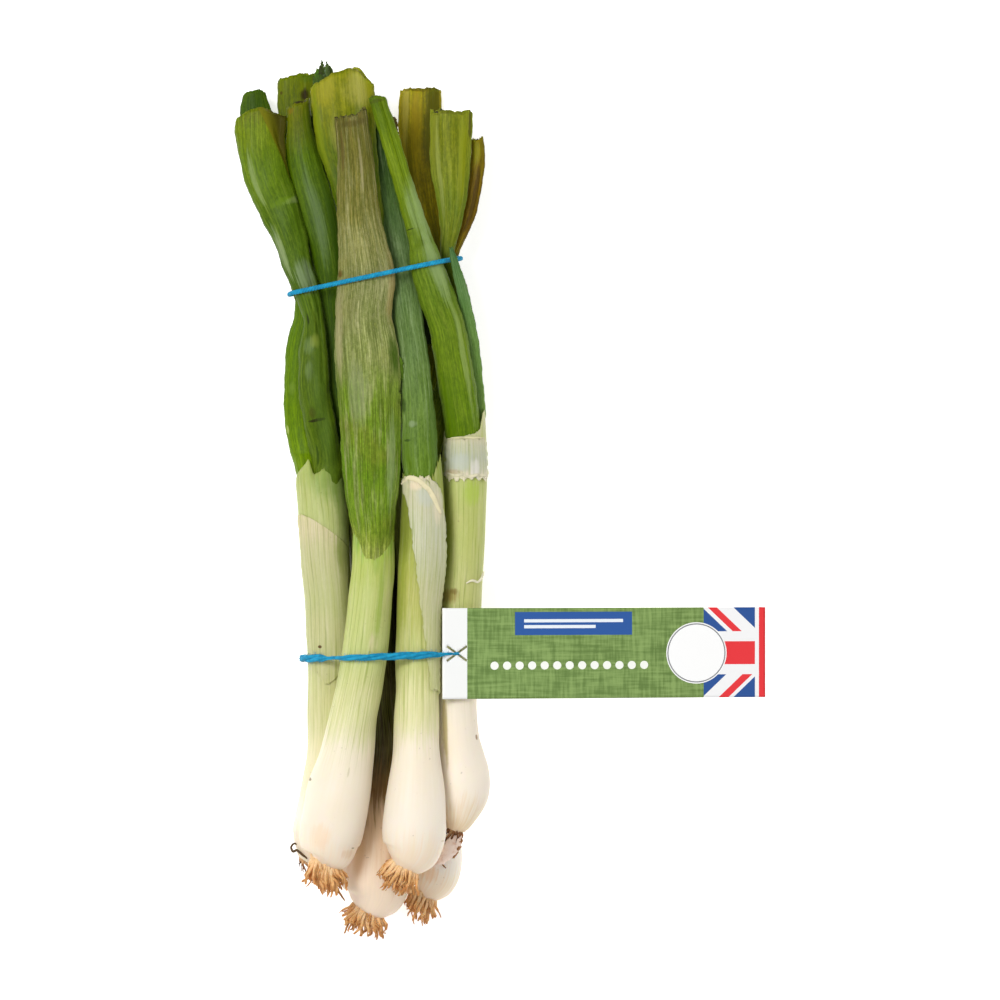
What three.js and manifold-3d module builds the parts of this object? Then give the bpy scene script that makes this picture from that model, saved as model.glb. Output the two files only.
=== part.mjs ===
// A bunch of six spring onions lying on its back, held by two twisted bands, with a card tag.
// Millimetres. +X to the right of the bunch, +Y from the roots to the leaf tips, +Z up.
// The bunch's own frame has X and Y zero near its middle and Z zero on the surface it lies on.

import * as THREE from 'three';
import { mergeVertices } from 'three/addons/utils/BufferGeometryUtils.js';
import Module from 'manifold-3d';

const wasm = await Module();
wasm.setup();

const shaftSides = 14;
const shaftSteps = 19;
const bulbCrowding = 1.55;
const leafSides = 10;
const leafSteps = 13;
const bandSides = 6;
const bandSteps = 48;
const clearance = 0.3;
const ovalPower = 0.85; // below 1 makes a leaf's section fuller than an ellipse
const tearHeight = 0.6; // share of a leaf's ragged value that its tear reaches
const mouthWall = 0.72; // inner size of an open leaf end against its outer size
const plateDepth = 1.5; // thickness of a root plate
const plateSides = 10;
const strandTurn = 2.39996; // the angle from one root strand to the next, so that none line up
const bandSlack = 0.15; // room left between a band and what it ties, above the clearance
const topHeight = 16; // what is above this is the upper run of the lower band

const colours = {
  shaft: '#c9d69a',
  green: '#4f7a2c',
  blueGreen: '#5c7d52',
  yellowGreen: '#8fa23e',
  dry: '#9c8a5a',
  root: '#b98a58',
  band: '#1596bf',
  card: '#7d9a58',
};

// Each shaft is a row of stations from the root plate up: x, y, z, half width, half height.
const shafts = {
  a: [
    [-25.6, -107.4, 6.6, 2.6, 2.6],
    [-24.0, -105.0, 6.9, 5.4, 5.4],
    [-22.2, -101.4, 7.2, 7.2, 7.2],
    [-21.0, -96.0, 7.3, 7.5, 7.5],
    [-19.8, -90.0, 8.0, 7.5, 7.5],
    [-18.8, -84.0, 9.0, 7.3, 7.3],
    [-17.7, -76.5, 10.3, 7.2, 7.2],
    [-17.4, -60.0, 13.5, 7.1, 7.1],
    [-17.4, -46.5, 16.2, 7.1, 7.1],
    [-17.9, -30.0, 15.6, 7.1, 7.1],
    [-19.1, -18.0, 14.6, 7.2, 7.2],
    [-19.7, -6.0, 14.2, 7.6, 7.0],
    [-20.8, 6.0, 13.9, 7.3, 6.2],
    [-21.0, 9.0, 13.8, 7.0, 5.4],
  ],
  b: [
    [-19.6, -108.2, 25.0, 3.4, 3.4],
    [-18.2, -105.6, 25.2, 7.2, 7.2],
    [-17.7, -101.4, 25.4, 9.0, 9.0],
    [-16.8, -97.5, 25.5, 9.6, 9.6],
    [-15.5, -90.0, 25.6, 9.7, 9.7],
    [-14.2, -84.0, 25.6, 9.3, 9.3],
    [-12.6, -76.5, 25.8, 8.3, 8.3],
    [-11.1, -67.5, 26.0, 7.4, 7.4],
    [-9.4, -58.5, 26.3, 7.0, 7.0],
    [-7.5, -48.0, 26.8, 6.9, 6.9],
    [-5.9, -34.0, 26.3, 6.7, 6.7],
    [-4.8, -22.0, 25.0, 6.5, 6.5],
    [-4.5, -10.5, 24.5, 6.2, 5.2],
  ],
  c: [
    [4.2, -109.4, 26.8, 3.6, 3.6],
    [5.6, -107.0, 26.9, 6.6, 6.6],
    [6.9, -103.8, 27.0, 8.5, 8.5],
    [7.4, -99.6, 27.1, 9.5, 9.5],
    [7.6, -96.0, 27.2, 9.6, 9.6],
    [7.9, -90.0, 27.4, 9.1, 9.1],
    [8.1, -84.0, 27.5, 8.3, 8.3],
    [8.2, -78.0, 26.8, 7.5, 7.5],
    [8.1, -71.0, 25.8, 6.9, 6.9],
    [8.4, -60.0, 25.2, 6.7, 6.7],
    [8.5, -46.5, 23.8, 6.6, 6.6],
    [8.8, -32.0, 23.7, 6.6, 6.6],
    [9.8, -18.0, 23.8, 7.1, 7.1],
    [10.1, -6.0, 23.8, 6.7, 6.4],
    [9.9, 5.0, 23.8, 6.2, 5.6],
    [9.8, 8.4, 23.8, 5.9, 5.2],
  ],
  d: [
    [19.2, -98.4, 17.9, 2.5, 2.5],
    [20.2, -96.0, 17.9, 4.4, 4.4],
    [20.8, -93.2, 18.0, 6.0, 6.0],
    [21.4, -89.6, 18.0, 7.6, 7.6],
    [21.9, -85.5, 17.8, 8.2, 8.2],
    [21.7, -81.0, 17.8, 8.0, 8.0],
    [21.1, -76.5, 18.0, 7.3, 7.3],
    [20.4, -71.0, 18.2, 6.6, 6.6],
    [19.9, -60.0, 17.8, 6.3, 6.3],
    [20.3, -46.5, 16.6, 6.4, 6.4],
    [21.1, -32.0, 15.8, 6.4, 6.4],
    [21.9, -18.0, 15.2, 6.4, 6.4],
    [22.4, 0.0, 14.5, 6.7, 6.4],
    [22.4, 10.0, 14.2, 6.8, 6.2],
    [22.4, 18.4, 14.0, 6.2, 5.6],
  ],
  e: [
    [-6.9, -123.4, 9.4, 3.4, 3.4],
    [-6.0, -121.8, 9.6, 6.2, 6.2],
    [-4.6, -118.4, 9.7, 9.0, 9.0],
    [-4.2, -114.6, 9.8, 10.4, 10.4],
    [-3.9, -109.0, 9.9, 10.4, 10.4],
    [-3.7, -104.0, 10.0, 9.8, 9.8],
    [-3.4, -97.5, 10.1, 8.4, 8.4],
    [-3.9, -90.0, 10.0, 7.4, 7.4],
    [-3.5, -84.0, 9.9, 6.8, 6.8],
    [-2.6, -72.0, 9.8, 6.5, 6.5],
    [-3.7, -60.0, 9.8, 6.5, 6.5],
    [-4.5, -46.5, 9.8, 6.6, 6.6],
    [-4.8, -30.0, 9.8, 6.3, 6.3],
    [-5.9, -18.0, 9.2, 6.3, 6.3],
    [-7.4, -6.0, 8.3, 6.2, 6.0],
    [-8.6, 4.8, 8.0, 5.9, 5.2],
  ],
  f: [
    [10.0, -118.3, 7.2, 2.9, 2.9],
    [11.2, -116.8, 7.2, 5.0, 5.0],
    [13.2, -113.4, 7.3, 7.0, 7.0],
    [14.2, -108.6, 7.3, 7.5, 7.5],
    [14.3, -103.6, 7.5, 7.3, 7.3],
    [13.0, -97.5, 7.9, 6.9, 6.9],
    [10.9, -90.0, 8.2, 6.5, 6.5],
    [10.3, -84.0, 8.4, 6.3, 6.3],
    [10.8, -72.0, 8.9, 6.2, 6.2],
    [10.0, -60.0, 9.2, 6.2, 6.2],
    [9.3, -46.5, 9.4, 6.2, 6.2],
    [8.6, -30.0, 9.5, 6.2, 6.2],
    [7.6, -18.0, 9.2, 6.1, 6.1],
    [6.8, -6.0, 8.9, 6.0, 6.0],
    [6.6, 5.4, 8.6, 5.7, 5.0],
  ],
};

// Each leaf is a row of stations from its base to its cut tip: x, y, z, half width, half thickness.
// bow arches a leaf across its width, and mouth is the depth of the open end of a hollow leaf.
// At the cut tip, ragged is the height of its tears, slant lifts its right side and round drops its
// two corners.
const leaves = {
  a_leaf_1: {
    colour: colours.green,
    bow: 0.6,
    mouth: 0,
    ragged: 0.4,
    slant: 0.3,
    round: 2.2,
    path: [
      [-19.6, 10.4, 16.2, 4.4, 2.4],
      [-19.1, 15.0, 17.2, 4.4, 2.5],
      [-20.9, 24.0, 18.4, 4.7, 2.7],
      [-22.2, 33.0, 18.9, 4.8, 2.7],
      [-22.5, 42.0, 19.1, 4.5, 2.6],
      [-22.3, 51.6, 19.2, 3.1, 2.6],
      [-22.9, 56.0, 19.2, 3.3, 2.6],
      [-24.9, 63.0, 19.1, 3.8, 2.7],
      [-27.0, 69.0, 18.8, 4.3, 2.8],
      [-29.7, 78.0, 18.0, 5.0, 3.0],
      [-33.0, 87.0, 17.0, 5.9, 3.2],
      [-36.9, 96.0, 16.2, 6.2, 3.3],
      [-38.9, 105.0, 15.6, 6.5, 3.4],
      [-38.6, 115.6, 15.2, 7.4, 3.0],
    ],
  },
  a_leaf_2: {
    colour: colours.yellowGreen,
    bow: 0.4,
    mouth: 0,
    ragged: 0.3,
    slant: 0.2,
    round: 1.4,
    path: [
      [-22.9, 10.0, 10.9, 4.2, 1.9],
      [-24.4, 13.5, 11.1, 4.6, 2.1],
      [-25.8, 21.0, 12.0, 5.1, 2.3],
      [-26.4, 30.0, 12.5, 5.1, 2.3],
      [-25.8, 45.0, 13.0, 5.0, 2.2],
      [-24.4, 54.0, 13.0, 4.2, 2.1],
      [-24.8, 61.0, 13.0, 3.8, 2.1],
      [-29.7, 78.0, 11.8, 4.5, 2.0],
      [-36.0, 96.0, 9.8, 4.8, 1.9],
      [-39.3, 111.0, 8.6, 5.0, 1.8],
      [-40.2, 117.0, 8.2, 4.6, 1.7],
      [-40.5, 122.6, 8.0, 3.4, 1.5],
    ],
  },
  b_leaf_1: {
    colour: colours.dry,
    bow: 1.3,
    mouth: 0,
    ragged: 1.0,
    slant: 1.0,
    round: 0.4,
    path: [
      [-4.5, -9.9, 26.4, 5.7, 2.4],
      [-4.9, -3.6, 26.8, 7.0, 2.0],
      [-5.0, 0.0, 26.9, 7.7, 1.7],
      [-5.1, 6.0, 26.9, 8.4, 1.3],
      [-5.2, 15.0, 26.8, 8.9, 1.0],
      [-5.7, 28.5, 26.6, 9.3, 0.8],
      [-6.5, 43.0, 26.0, 9.6, 0.7],
      [-7.6, 54.6, 25.3, 8.4, 0.7],
      [-6.7, 66.0, 24.6, 8.6, 0.7],
      [-7.7, 75.0, 24.5, 7.4, 0.7],
      [-8.9, 84.0, 24.7, 6.5, 0.7],
      [-9.6, 96.0, 25.1, 5.7, 0.6],
      [-10.3, 105.0, 25.5, 5.2, 0.6],
      [-11.4, 114.6, 25.9, 4.9, 0.6],
    ],
  },
  b_leaf_2: {
    colour: colours.yellowGreen,
    bow: 0.8,
    mouth: 6,
    ragged: 0.7,
    slant: 2.6,
    round: 1.0,
    path: [
      [-4.5, -9.9, 21.6, 4.6, 1.6],
      [-4.9, 0.0, 22.0, 5.0, 1.7],
      [-5.3, 15.0, 22.0, 5.3, 1.7],
      [-5.6, 30.0, 21.8, 5.4, 1.7],
      [-6.6, 48.0, 21.2, 5.4, 1.7],
      [-7.6, 66.0, 20.5, 5.6, 1.8],
      [-8.3, 84.0, 20.4, 6.6, 2.0],
      [-11.0, 99.0, 20.3, 8.0, 2.2],
      [-12.6, 106.5, 20.1, 8.8, 2.3],
      [-13.5, 117.0, 19.6, 9.6, 2.4],
      [-14.1, 125.0, 19.2, 9.6, 2.4],
    ],
  },
  c_leaf_1: {
    colour: colours.blueGreen,
    bow: 0.2,
    mouth: 0,
    ragged: 0.8,
    slant: 0,
    round: 1.0,
    path: [
      [9.6, 9.0, 25.2, 5.3, 3.0],
      [9.0, 15.0, 24.8, 5.3, 2.9],
      [8.7, 24.0, 24.0, 5.1, 2.8],
      [8.1, 33.0, 23.2, 4.9, 2.7],
      [7.1, 42.0, 22.2, 4.8, 2.5],
      [5.9, 51.0, 21.0, 4.5, 2.4],
      [4.0, 64.0, 18.7, 5.0, 2.3],
      [1.9, 76.5, 17.2, 5.0, 2.2],
      [-1.5, 96.0, 16.2, 4.7, 2.0],
      [-3.5, 112.0, 15.4, 2.7, 1.6],
    ],
  },
  c_leaf_2: {
    colour: colours.green,
    bow: 0,
    mouth: 0,
    ragged: 1.0,
    slant: 0.6,
    round: 0.6,
    path: [
      [9.6, 9.0, 20.4, 3.4, 1.2],
      [9.0, 18.0, 19.6, 3.2, 1.2],
      [7.5, 33.0, 18.3, 3.1, 1.1],
      [5.0, 48.0, 16.6, 3.0, 1.1],
      [0.5, 64.5, 14.0, 3.0, 1.1],
      [-7.0, 85.0, 12.6, 3.2, 1.1],
      [-14.0, 105.0, 14.0, 3.3, 1.2],
      [-18.5, 120.0, 14.6, 3.4, 1.2],
      [-20.1, 128.4, 14.8, 3.2, 1.2],
    ],
  },
  d_leaf_1: {
    colour: colours.green,
    bow: 0.2,
    mouth: 0,
    ragged: 0.3,
    slant: -0.8,
    round: 0.8,
    path: [
      [21.8, 19.2, 16.2, 4.0, 3.0],
      [21.7, 24.6, 16.9, 5.0, 3.6],
      [20.3, 33.0, 17.8, 5.5, 3.9],
      [18.8, 42.0, 19.1, 5.5, 3.9],
      [17.3, 51.0, 20.5, 5.3, 3.8],
      [14.9, 58.5, 21.7, 5.4, 3.7],
      [13.1, 64.5, 22.5, 5.2, 3.6],
      [11.3, 69.6, 23.2, 4.9, 3.3],
      [9.3, 77.4, 23.9, 3.6, 2.7],
      [7.6, 83.1, 24.1, 3.3, 2.3],
      [4.4, 93.6, 24.3, 2.9, 2.0],
      [0.6, 106.5, 24.3, 2.8, 1.7],
      [-3.6, 120.0, 24.3, 2.5, 1.3],
    ],
  },
  d_leaf_2: {
    colour: colours.blueGreen,
    bow: 0,
    mouth: 0,
    ragged: 0.3,
    slant: 0,
    round: 0,
    path: [
      [27.5, 19.2, 12.6, 1.1, 1.2],
      [27.2, 27.0, 12.6, 1.5, 1.2],
      [26.0, 36.0, 13.8, 1.9, 1.2],
      [25.0, 45.0, 15.6, 2.0, 1.2],
      [23.0, 56.4, 18.7, 1.9, 1.1],
      [21.2, 64.5, 21.6, 1.6, 0.9],
      [19.6, 70.2, 24.7, 1.2, 0.7],
      [18.4, 75.0, 25.2, 0.5, 0.4],
    ],
  },
  d_leaf_3: {
    colour: colours.dry,
    bow: 0.3,
    mouth: 0,
    ragged: 0.7,
    slant: 0.2,
    round: 0.6,
    path: [
      [22.6, 19.2, 10.4, 3.0, 1.1],
      [23.0, 30.0, 10.2, 2.6, 1.1],
      [22.5, 48.0, 10.6, 2.2, 1.1],
      [18.9, 71.5, 14.2, 1.4, 1.0],
      [21.0, 78.0, 14.4, 1.6, 0.9],
      [23.4, 84.0, 14.0, 1.9, 0.9],
      [25.2, 91.5, 13.4, 2.1, 0.9],
      [26.5, 103.0, 12.5, 2.1, 0.9],
      [26.1, 108.0, 12.0, 1.9, 0.9],
    ],
  },
  e_leaf_1: {
    colour: colours.green,
    bow: 0.3,
    mouth: 8,
    ragged: 0.6,
    slant: 1.4,
    round: 0,
    path: [
      [-9.4, 6.6, 10.4, 3.6, 1.8],
      [-12.4, 18.0, 12.8, 3.4, 1.9],
      [-14.6, 30.0, 14.4, 3.5, 1.7],
      [-15.8, 45.0, 14.9, 3.5, 1.7],
      [-16.5, 54.0, 15.0, 3.7, 1.8],
      [-17.3, 63.0, 15.6, 4.1, 2.1],
      [-18.6, 75.0, 16.2, 4.7, 2.5],
      [-20.4, 85.0, 15.8, 5.0, 2.5],
      [-23.2, 95.4, 15.2, 4.7, 2.5],
      [-25.3, 103.5, 14.8, 4.4, 2.5],
      [-26.9, 112.5, 14.4, 3.8, 2.4],
      [-27.2, 118.2, 14.2, 3.5, 2.3],
    ],
  },
  e_leaf_2: {
    colour: colours.yellowGreen,
    bow: 0.3,
    mouth: 6,
    ragged: 0.6,
    slant: 1.1,
    round: 0.4,
    path: [
      [-8.2, 6.2, 5.4, 3.6, 1.7],
      [-10.4, 18.0, 7.2, 3.5, 1.7],
      [-12.0, 30.0, 9.2, 3.6, 1.7],
      [-15.0, 48.0, 10.8, 3.8, 1.6],
      [-17.5, 63.0, 11.2, 4.1, 1.6],
      [-21.5, 85.0, 9.0, 4.6, 1.6],
      [-26.0, 105.0, 5.4, 5.0, 1.6],
      [-28.2, 118.0, 2.4, 5.5, 1.7],
      [-28.5, 127.0, 1.5, 5.4, 1.7],
    ],
  },
  f_leaf_1: {
    colour: colours.dry,
    bow: 0.2,
    mouth: 6,
    ragged: 0.7,
    slant: 0.2,
    round: 0,
    path: [
      [6.8, 6.6, 6.2, 4.2, 1.7],
      [8.6, 18.0, 6.8, 4.4, 1.6],
      [10.6, 30.0, 7.4, 4.2, 1.5],
      [13.6, 48.0, 8.2, 4.0, 1.4],
      [14.0, 69.6, 9.4, 4.2, 1.3],
      [12.6, 78.0, 9.2, 4.3, 1.3],
      [10.6, 90.0, 7.4, 4.8, 1.3],
      [8.8, 105.0, 4.4, 5.8, 1.4],
      [9.0, 115.0, 2.2, 6.4, 1.4],
      [9.1, 123.0, 1.2, 6.3, 1.4],
    ],
  },
  f_leaf_2: {
    colour: colours.yellowGreen,
    bow: 0.8,
    mouth: 0,
    ragged: 0.9,
    slant: -0.1,
    round: -0.4,
    path: [
      [9.0, 7.4, 10.8, 4.4, 1.5],
      [12.2, 18.0, 11.0, 3.9, 1.4],
      [16.2, 30.0, 11.6, 3.7, 1.2],
      [18.6, 40.0, 12.5, 2.8, 1.2],
      [20.0, 50.0, 14.2, 2.7, 1.2],
      [20.9, 62.0, 16.8, 2.4, 1.1],
      [17.5, 71.5, 17.6, 2.2, 1.1],
      [17.3, 75.0, 17.6, 2.3, 1.1],
      [18.2, 81.0, 17.4, 3.0, 1.0],
      [18.6, 90.0, 17.0, 4.6, 0.9],
      [18.3, 99.0, 16.4, 5.8, 0.8],
      [18.3, 111.0, 15.8, 6.3, 0.7],
      [18.4, 115.6, 15.4, 6.3, 0.7],
    ],
  },
};

// Each root tuft: how many strands, their length and thickness, and where they lean.
const rootTufts = {
  a: { strands: 4, plate: 2.0, length: 4.0, thick: 0.5, spread: 0.5, lean: [0.2, -0.9, -0.2], seed: 11 },
  b: { strands: 16, plate: 4.6, length: 7.6, thick: 0.75, spread: 0.62, lean: [0.05, -1, 0.05], seed: 23 },
  c: { strands: 16, plate: 4.4, length: 7.2, thick: 0.75, spread: 0.58, lean: [-0.35, -0.9, -0.1], seed: 37 },
  d: { strands: 6, plate: 2.2, length: 3.2, thick: 0.6, spread: 0.6, lean: [-0.4, -0.9, -0.1], seed: 41 },
  e: { strands: 14, plate: 4.2, length: 5.6, thick: 0.8, spread: 0.7, lean: [-0.15, -1, -0.25], seed: 53 },
  f: { strands: 13, plate: 3.7, length: 6.6, thick: 0.75, spread: 0.42, lean: [-0.25, -1, -0.22], seed: 67 },
};

// Each band's loop lies in an upright plane, y = middle + slope times x, drawn tight on what it ties.
const bands = {
  upper: { middle: 67.6, slope: 0.21, radius: 0.8, thinFrom: Infinity, thinRadius: 0.8 },
  lower: { middle: -46.3, slope: 0.035, radius: 1.2, thinFrom: 15.5, thinRadius: 0.6 },
};

const tag = { left: 15.8, right: 112.4, top: -32.1, bottom: -59.1, thick: 0.6 };
const slit = { x: 20.1, y: -45.6, length: 7.6, width: 0.7, angle: 0.62 };

// A repeatable draw of numbers between 0 and 1.
function seededDraw(seed) {
  let state = seed * 7919 + 17;
  return () => {
    state = (state * 16807) % 2147483647;
    return state / 2147483647;
  };
}

// A smooth curve through stations of any width, by the distance between their points.
// Crowding above 1 puts more of the samples near the first station.
function sampleStations(stations, count, crowding = 1) {
  const width = stations[0].length;
  const reach = [0];
  for (let i = 1; i < stations.length; i += 1) {
    const here = stations[i];
    const before = stations[i - 1];
    reach.push(reach[i - 1] + Math.hypot(here[0] - before[0], here[1] - before[1], here[2] - before[2]));
  }
  const slope = stations.map((here, i) => {
    const low = Math.max(i - 1, 0);
    const high = Math.min(i + 1, stations.length - 1);
    const span = reach[high] - reach[low];
    return here.map((value, k) => (stations[high][k] - stations[low][k]) / span);
  });
  const total = reach[reach.length - 1];
  const samples = [];
  for (let step = 0; step < count; step += 1) {
    const along = total * (step / (count - 1)) ** crowding;
    let i = 0;
    while (i < stations.length - 2 && along > reach[i + 1]) i += 1;
    const gap = reach[i + 1] - reach[i];
    const t = (along - reach[i]) / gap;
    const sample = [];
    for (let k = 0; k < width; k += 1) {
      const a = stations[i][k];
      const b = stations[i + 1][k];
      const rise = t * t * (3 - 2 * t);
      const leave = t * (1 - t) * (1 - t) * gap * slope[i][k];
      const arrive = t * t * (t - 1) * gap * slope[i + 1][k];
      sample.push(a + (b - a) * rise + leave + arrive);
    }
    samples.push(sample);
  }
  return samples;
}

// The sideways and upward directions at each point of a path that runs mostly along Y.
function framesAlong(samples) {
  const up = new THREE.Vector3(0, 0, 1);
  return samples.map((sample, i) => {
    const low = samples[Math.max(i - 1, 0)];
    const high = samples[Math.min(i + 1, samples.length - 1)];
    const ahead = new THREE.Vector3(high[0] - low[0], high[1] - low[1], high[2] - low[2]).normalize();
    const side = new THREE.Vector3().crossVectors(ahead, up).normalize();
    const raise = new THREE.Vector3().crossVectors(side, ahead).normalize();
    return { at: new THREE.Vector3(sample[0], sample[1], sample[2]), ahead, side, raise };
  });
}

// One closed body from rings of points, with a middle point to close each end.
function loft(rings, first, last) {
  const sides = rings[0].length;
  const places = [];
  const faces = [];
  rings.forEach((ring) => ring.forEach((p) => places.push(p.x, p.y, p.z)));
  for (let i = 0; i < rings.length - 1; i += 1) {
    for (let j = 0; j < sides; j += 1) {
      const a = i * sides + j;
      const b = i * sides + ((j + 1) % sides);
      faces.push(a, b + sides, b, a, a + sides, b + sides);
    }
  }
  places.push(first.x, first.y, first.z, last.x, last.y, last.z);
  const start = rings.length * sides;
  const top = (rings.length - 1) * sides;
  for (let j = 0; j < sides; j += 1) {
    const next = (j + 1) % sides;
    faces.push(start, j, next, start + 1, top + next, top + j);
  }
  const geometry = new THREE.BufferGeometry();
  geometry.setAttribute('position', new THREE.Float32BufferAttribute(places, 3));
  geometry.setIndex(faces);
  return geometry;
}

// One closed body from rings that meet end to end.
function ringLoft(rings) {
  const sides = rings[0].length;
  const places = [];
  const faces = [];
  rings.forEach((ring) => ring.forEach((p) => places.push(p.x, p.y, p.z)));
  rings.forEach((ring, i) => {
    const next = (i + 1) % rings.length;
    for (let j = 0; j < sides; j += 1) {
      const k = (j + 1) % sides;
      const a = i * sides + j;
      const b = i * sides + k;
      const c = next * sides + k;
      const d = next * sides + j;
      faces.push(a, b, c, a, c, d);
    }
  });
  const geometry = new THREE.BufferGeometry();
  geometry.setAttribute('position', new THREE.Float32BufferAttribute(places, 3));
  geometry.setIndex(faces);
  return geometry;
}

// What would sink into the surface is pressed flat on it.
function onSurface(point) {
  if (point.z < 0) point.z = 0;
  return point;
}

// A shaft's ring has a flat side below, so the lowest bulb rests on a small flat spot.
function shaftRings(stations) {
  const samples = sampleStations(stations, shaftSteps, bulbCrowding);
  const frames = framesAlong(samples);
  return frames.map((frame, i) => {
    const ring = [];
    for (let j = 0; j < shaftSides; j += 1) {
      const angle = (2 * Math.PI * j) / shaftSides;
      const point = frame.at.clone();
      point.addScaledVector(frame.side, samples[i][3] * Math.cos(angle));
      point.addScaledVector(frame.raise, samples[i][4] * Math.sin(angle));
      ring.push(onSurface(point));
    }
    return ring;
  });
}

// A leaf's ring is a flattened oval, arched by bow, with its cut end torn by a few waves.
function leafRings(leaf, seed) {
  const samples = sampleStations(leaf.path, leafSteps);
  const frames = framesAlong(samples);
  const rings = frames.map((frame, i) => {
    const [, , , wide, thick] = samples[i];
    const atTip = i === leafSteps - 1;
    const ring = [];
    for (let j = 0; j < leafSides; j += 1) {
      const angle = (2 * Math.PI * (j + 0.5)) / leafSides;
      const across = Math.sign(Math.cos(angle)) * Math.abs(Math.cos(angle)) ** ovalPower;
      const over = Math.sign(Math.sin(angle)) * Math.abs(Math.sin(angle)) ** ovalPower;
      const point = frame.at.clone();
      point.addScaledVector(frame.side, wide * across);
      point.addScaledVector(frame.raise, thick * over + leaf.bow * (0.5 - across * across));
      if (atTip) {
        const tear = Math.sin(2 * angle + seed) + 0.7 * Math.sin(5 * angle + 2 * seed);
        const edge = leaf.slant * across - leaf.round * Math.abs(across) ** 3;
        point.addScaledVector(frame.ahead, tearHeight * leaf.ragged * tear + edge);
      }
      ring.push(onSurface(point));
    }
    return ring;
  });
  return { rings, frames };
}

function leafGeometry(leaf, seed) {
  const { rings, frames } = leafRings(leaf, seed);
  const last = frames[leafSteps - 1];
  const base = frames[0].at;
  if (leaf.mouth === 0) {
    const middle = last.at.clone().addScaledVector(last.ahead, 0.2 * leaf.ragged);
    return loft(rings, base, onSurface(middle));
  }
  const rim = rings[leafSteps - 1];
  const inner = rim.map((point) => {
    const centre = last.at.clone();
    const lipped = centre.lerp(point, mouthWall);
    return lipped.addScaledVector(last.ahead, -0.4);
  });
  const floor = inner.map((point) => {
    const inside = last.at.clone().lerp(point, 0.75);
    return inside.addScaledVector(last.ahead, -leaf.mouth * 0.6);
  });
  const bottom = last.at.clone().addScaledVector(last.ahead, -leaf.mouth);
  return loft([...rings, inner, floor], base, bottom);
}

function toSolid(geometry) {
  const bare = new THREE.BufferGeometry();
  bare.setAttribute('position', geometry.getAttribute('position').clone());
  bare.setIndex(geometry.getIndex().clone());
  const merged = mergeVertices(bare, 1e-4);
  const mesh = new wasm.Mesh({
    numProp: 3,
    vertProperties: Float32Array.from(merged.getAttribute('position').array),
    triVerts: Uint32Array.from(merged.getIndex().array),
  });
  return new wasm.Manifold(mesh);
}

function toGeometry(solid) {
  const mesh = solid.getMesh();
  const geometry = new THREE.BufferGeometry();
  geometry.setAttribute('position', new THREE.BufferAttribute(Float32Array.from(mesh.vertProperties), 3));
  geometry.setIndex(new THREE.BufferAttribute(Uint32Array.from(mesh.triVerts), 1));
  return geometry;
}

// A tapered strand with four sides that droops from the plate.
function strandGeometry(from, direction, length, thick, droop) {
  const steps = [0, 0.35, 0.7, 1];
  const samples = steps.map((part) => {
    const point = from.clone().addScaledVector(direction, length * part);
    point.z -= droop * part * part;
    return [point.x, point.y, point.z];
  });
  const frames = framesAlong(samples);
  const rings = frames.map((frame, i) => {
    const size = thick * (1 - 0.6 * steps[i]);
    return [0, 1, 2, 3].map((corner) => {
      const angle = (corner * Math.PI) / 2;
      const point = frame.at.clone();
      point.addScaledVector(frame.side, size * Math.cos(angle));
      point.addScaledVector(frame.raise, size * Math.sin(angle));
      return onSurface(point);
    });
  });
  return loft(rings, frames[0].at, frames[frames.length - 1].at);
}

// The root plate under a shaft with its strands sunk into it.
function rootsGeometry(tuft, stations) {
  const draw = seededDraw(tuft.seed);
  const foot = stations[0];
  const above = stations[1];
  const axis = new THREE.Vector3(foot[0] - above[0], foot[1] - above[1], foot[2] - above[2]).normalize();
  const lean = new THREE.Vector3(...tuft.lean).normalize();
  const side = new THREE.Vector3().crossVectors(axis, new THREE.Vector3(0, 0, 1)).normalize();
  const raise = new THREE.Vector3().crossVectors(side, axis).normalize();
  const start = new THREE.Vector3(foot[0], foot[1], foot[2]).addScaledVector(axis, clearance + 0.3);
  const plateRing = (depth, radius) => {
    const ring = [];
    for (let j = 0; j < plateSides; j += 1) {
      const angle = (2 * Math.PI * j) / plateSides;
      const point = start.clone().addScaledVector(axis, depth);
      point.addScaledVector(side, radius * Math.cos(angle));
      point.addScaledVector(raise, radius * Math.sin(angle));
      ring.push(onSurface(point));
    }
    return ring;
  };
  const plateRings = [
    plateRing(0, tuft.plate * 0.75),
    plateRing(plateDepth / 3, tuft.plate),
    plateRing(plateDepth, tuft.plate * 0.7),
  ];
  let solid = toSolid(loft(plateRings, start, start.clone().addScaledVector(axis, plateDepth)));
  for (let k = 0; k < tuft.strands; k += 1) {
    const turn = k * strandTurn + draw() * 0.5;
    const out = Math.sqrt((k + 0.5) / tuft.strands);
    const radial = new THREE.Vector3();
    radial.addScaledVector(side, Math.cos(turn));
    radial.addScaledVector(raise, Math.sin(turn));
    const from = start.clone().addScaledVector(axis, plateDepth * 0.5);
    from.addScaledVector(radial, tuft.plate * 0.72 * out);
    const direction = lean.clone().addScaledVector(radial, tuft.spread * out).normalize();
    const length = tuft.length * (0.6 + 0.55 * draw());
    const thick = tuft.thick * (0.75 + 0.5 * draw());
    solid = solid.add(toSolid(strandGeometry(from, direction, length, thick, 0.6 + draw())));
  }
  return toGeometry(solid);
}

// Where the long edges of a shaft or leaf pass through a band's plane, as x and z.
function crossings(rings, band) {
  const found = [];
  const off = (p) => p.y - band.middle - band.slope * p.x;
  for (let i = 0; i < rings.length - 1; i += 1) {
    rings[i].forEach((low, j) => {
      const high = rings[i + 1][j];
      const a = off(low);
      const b = off(high);
      if ((a < 0) !== (b < 0)) {
        const hit = low.clone().lerp(high, a / (a - b));
        found.push([hit.x, hit.z]);
      }
    });
  }
  return found;
}

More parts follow.
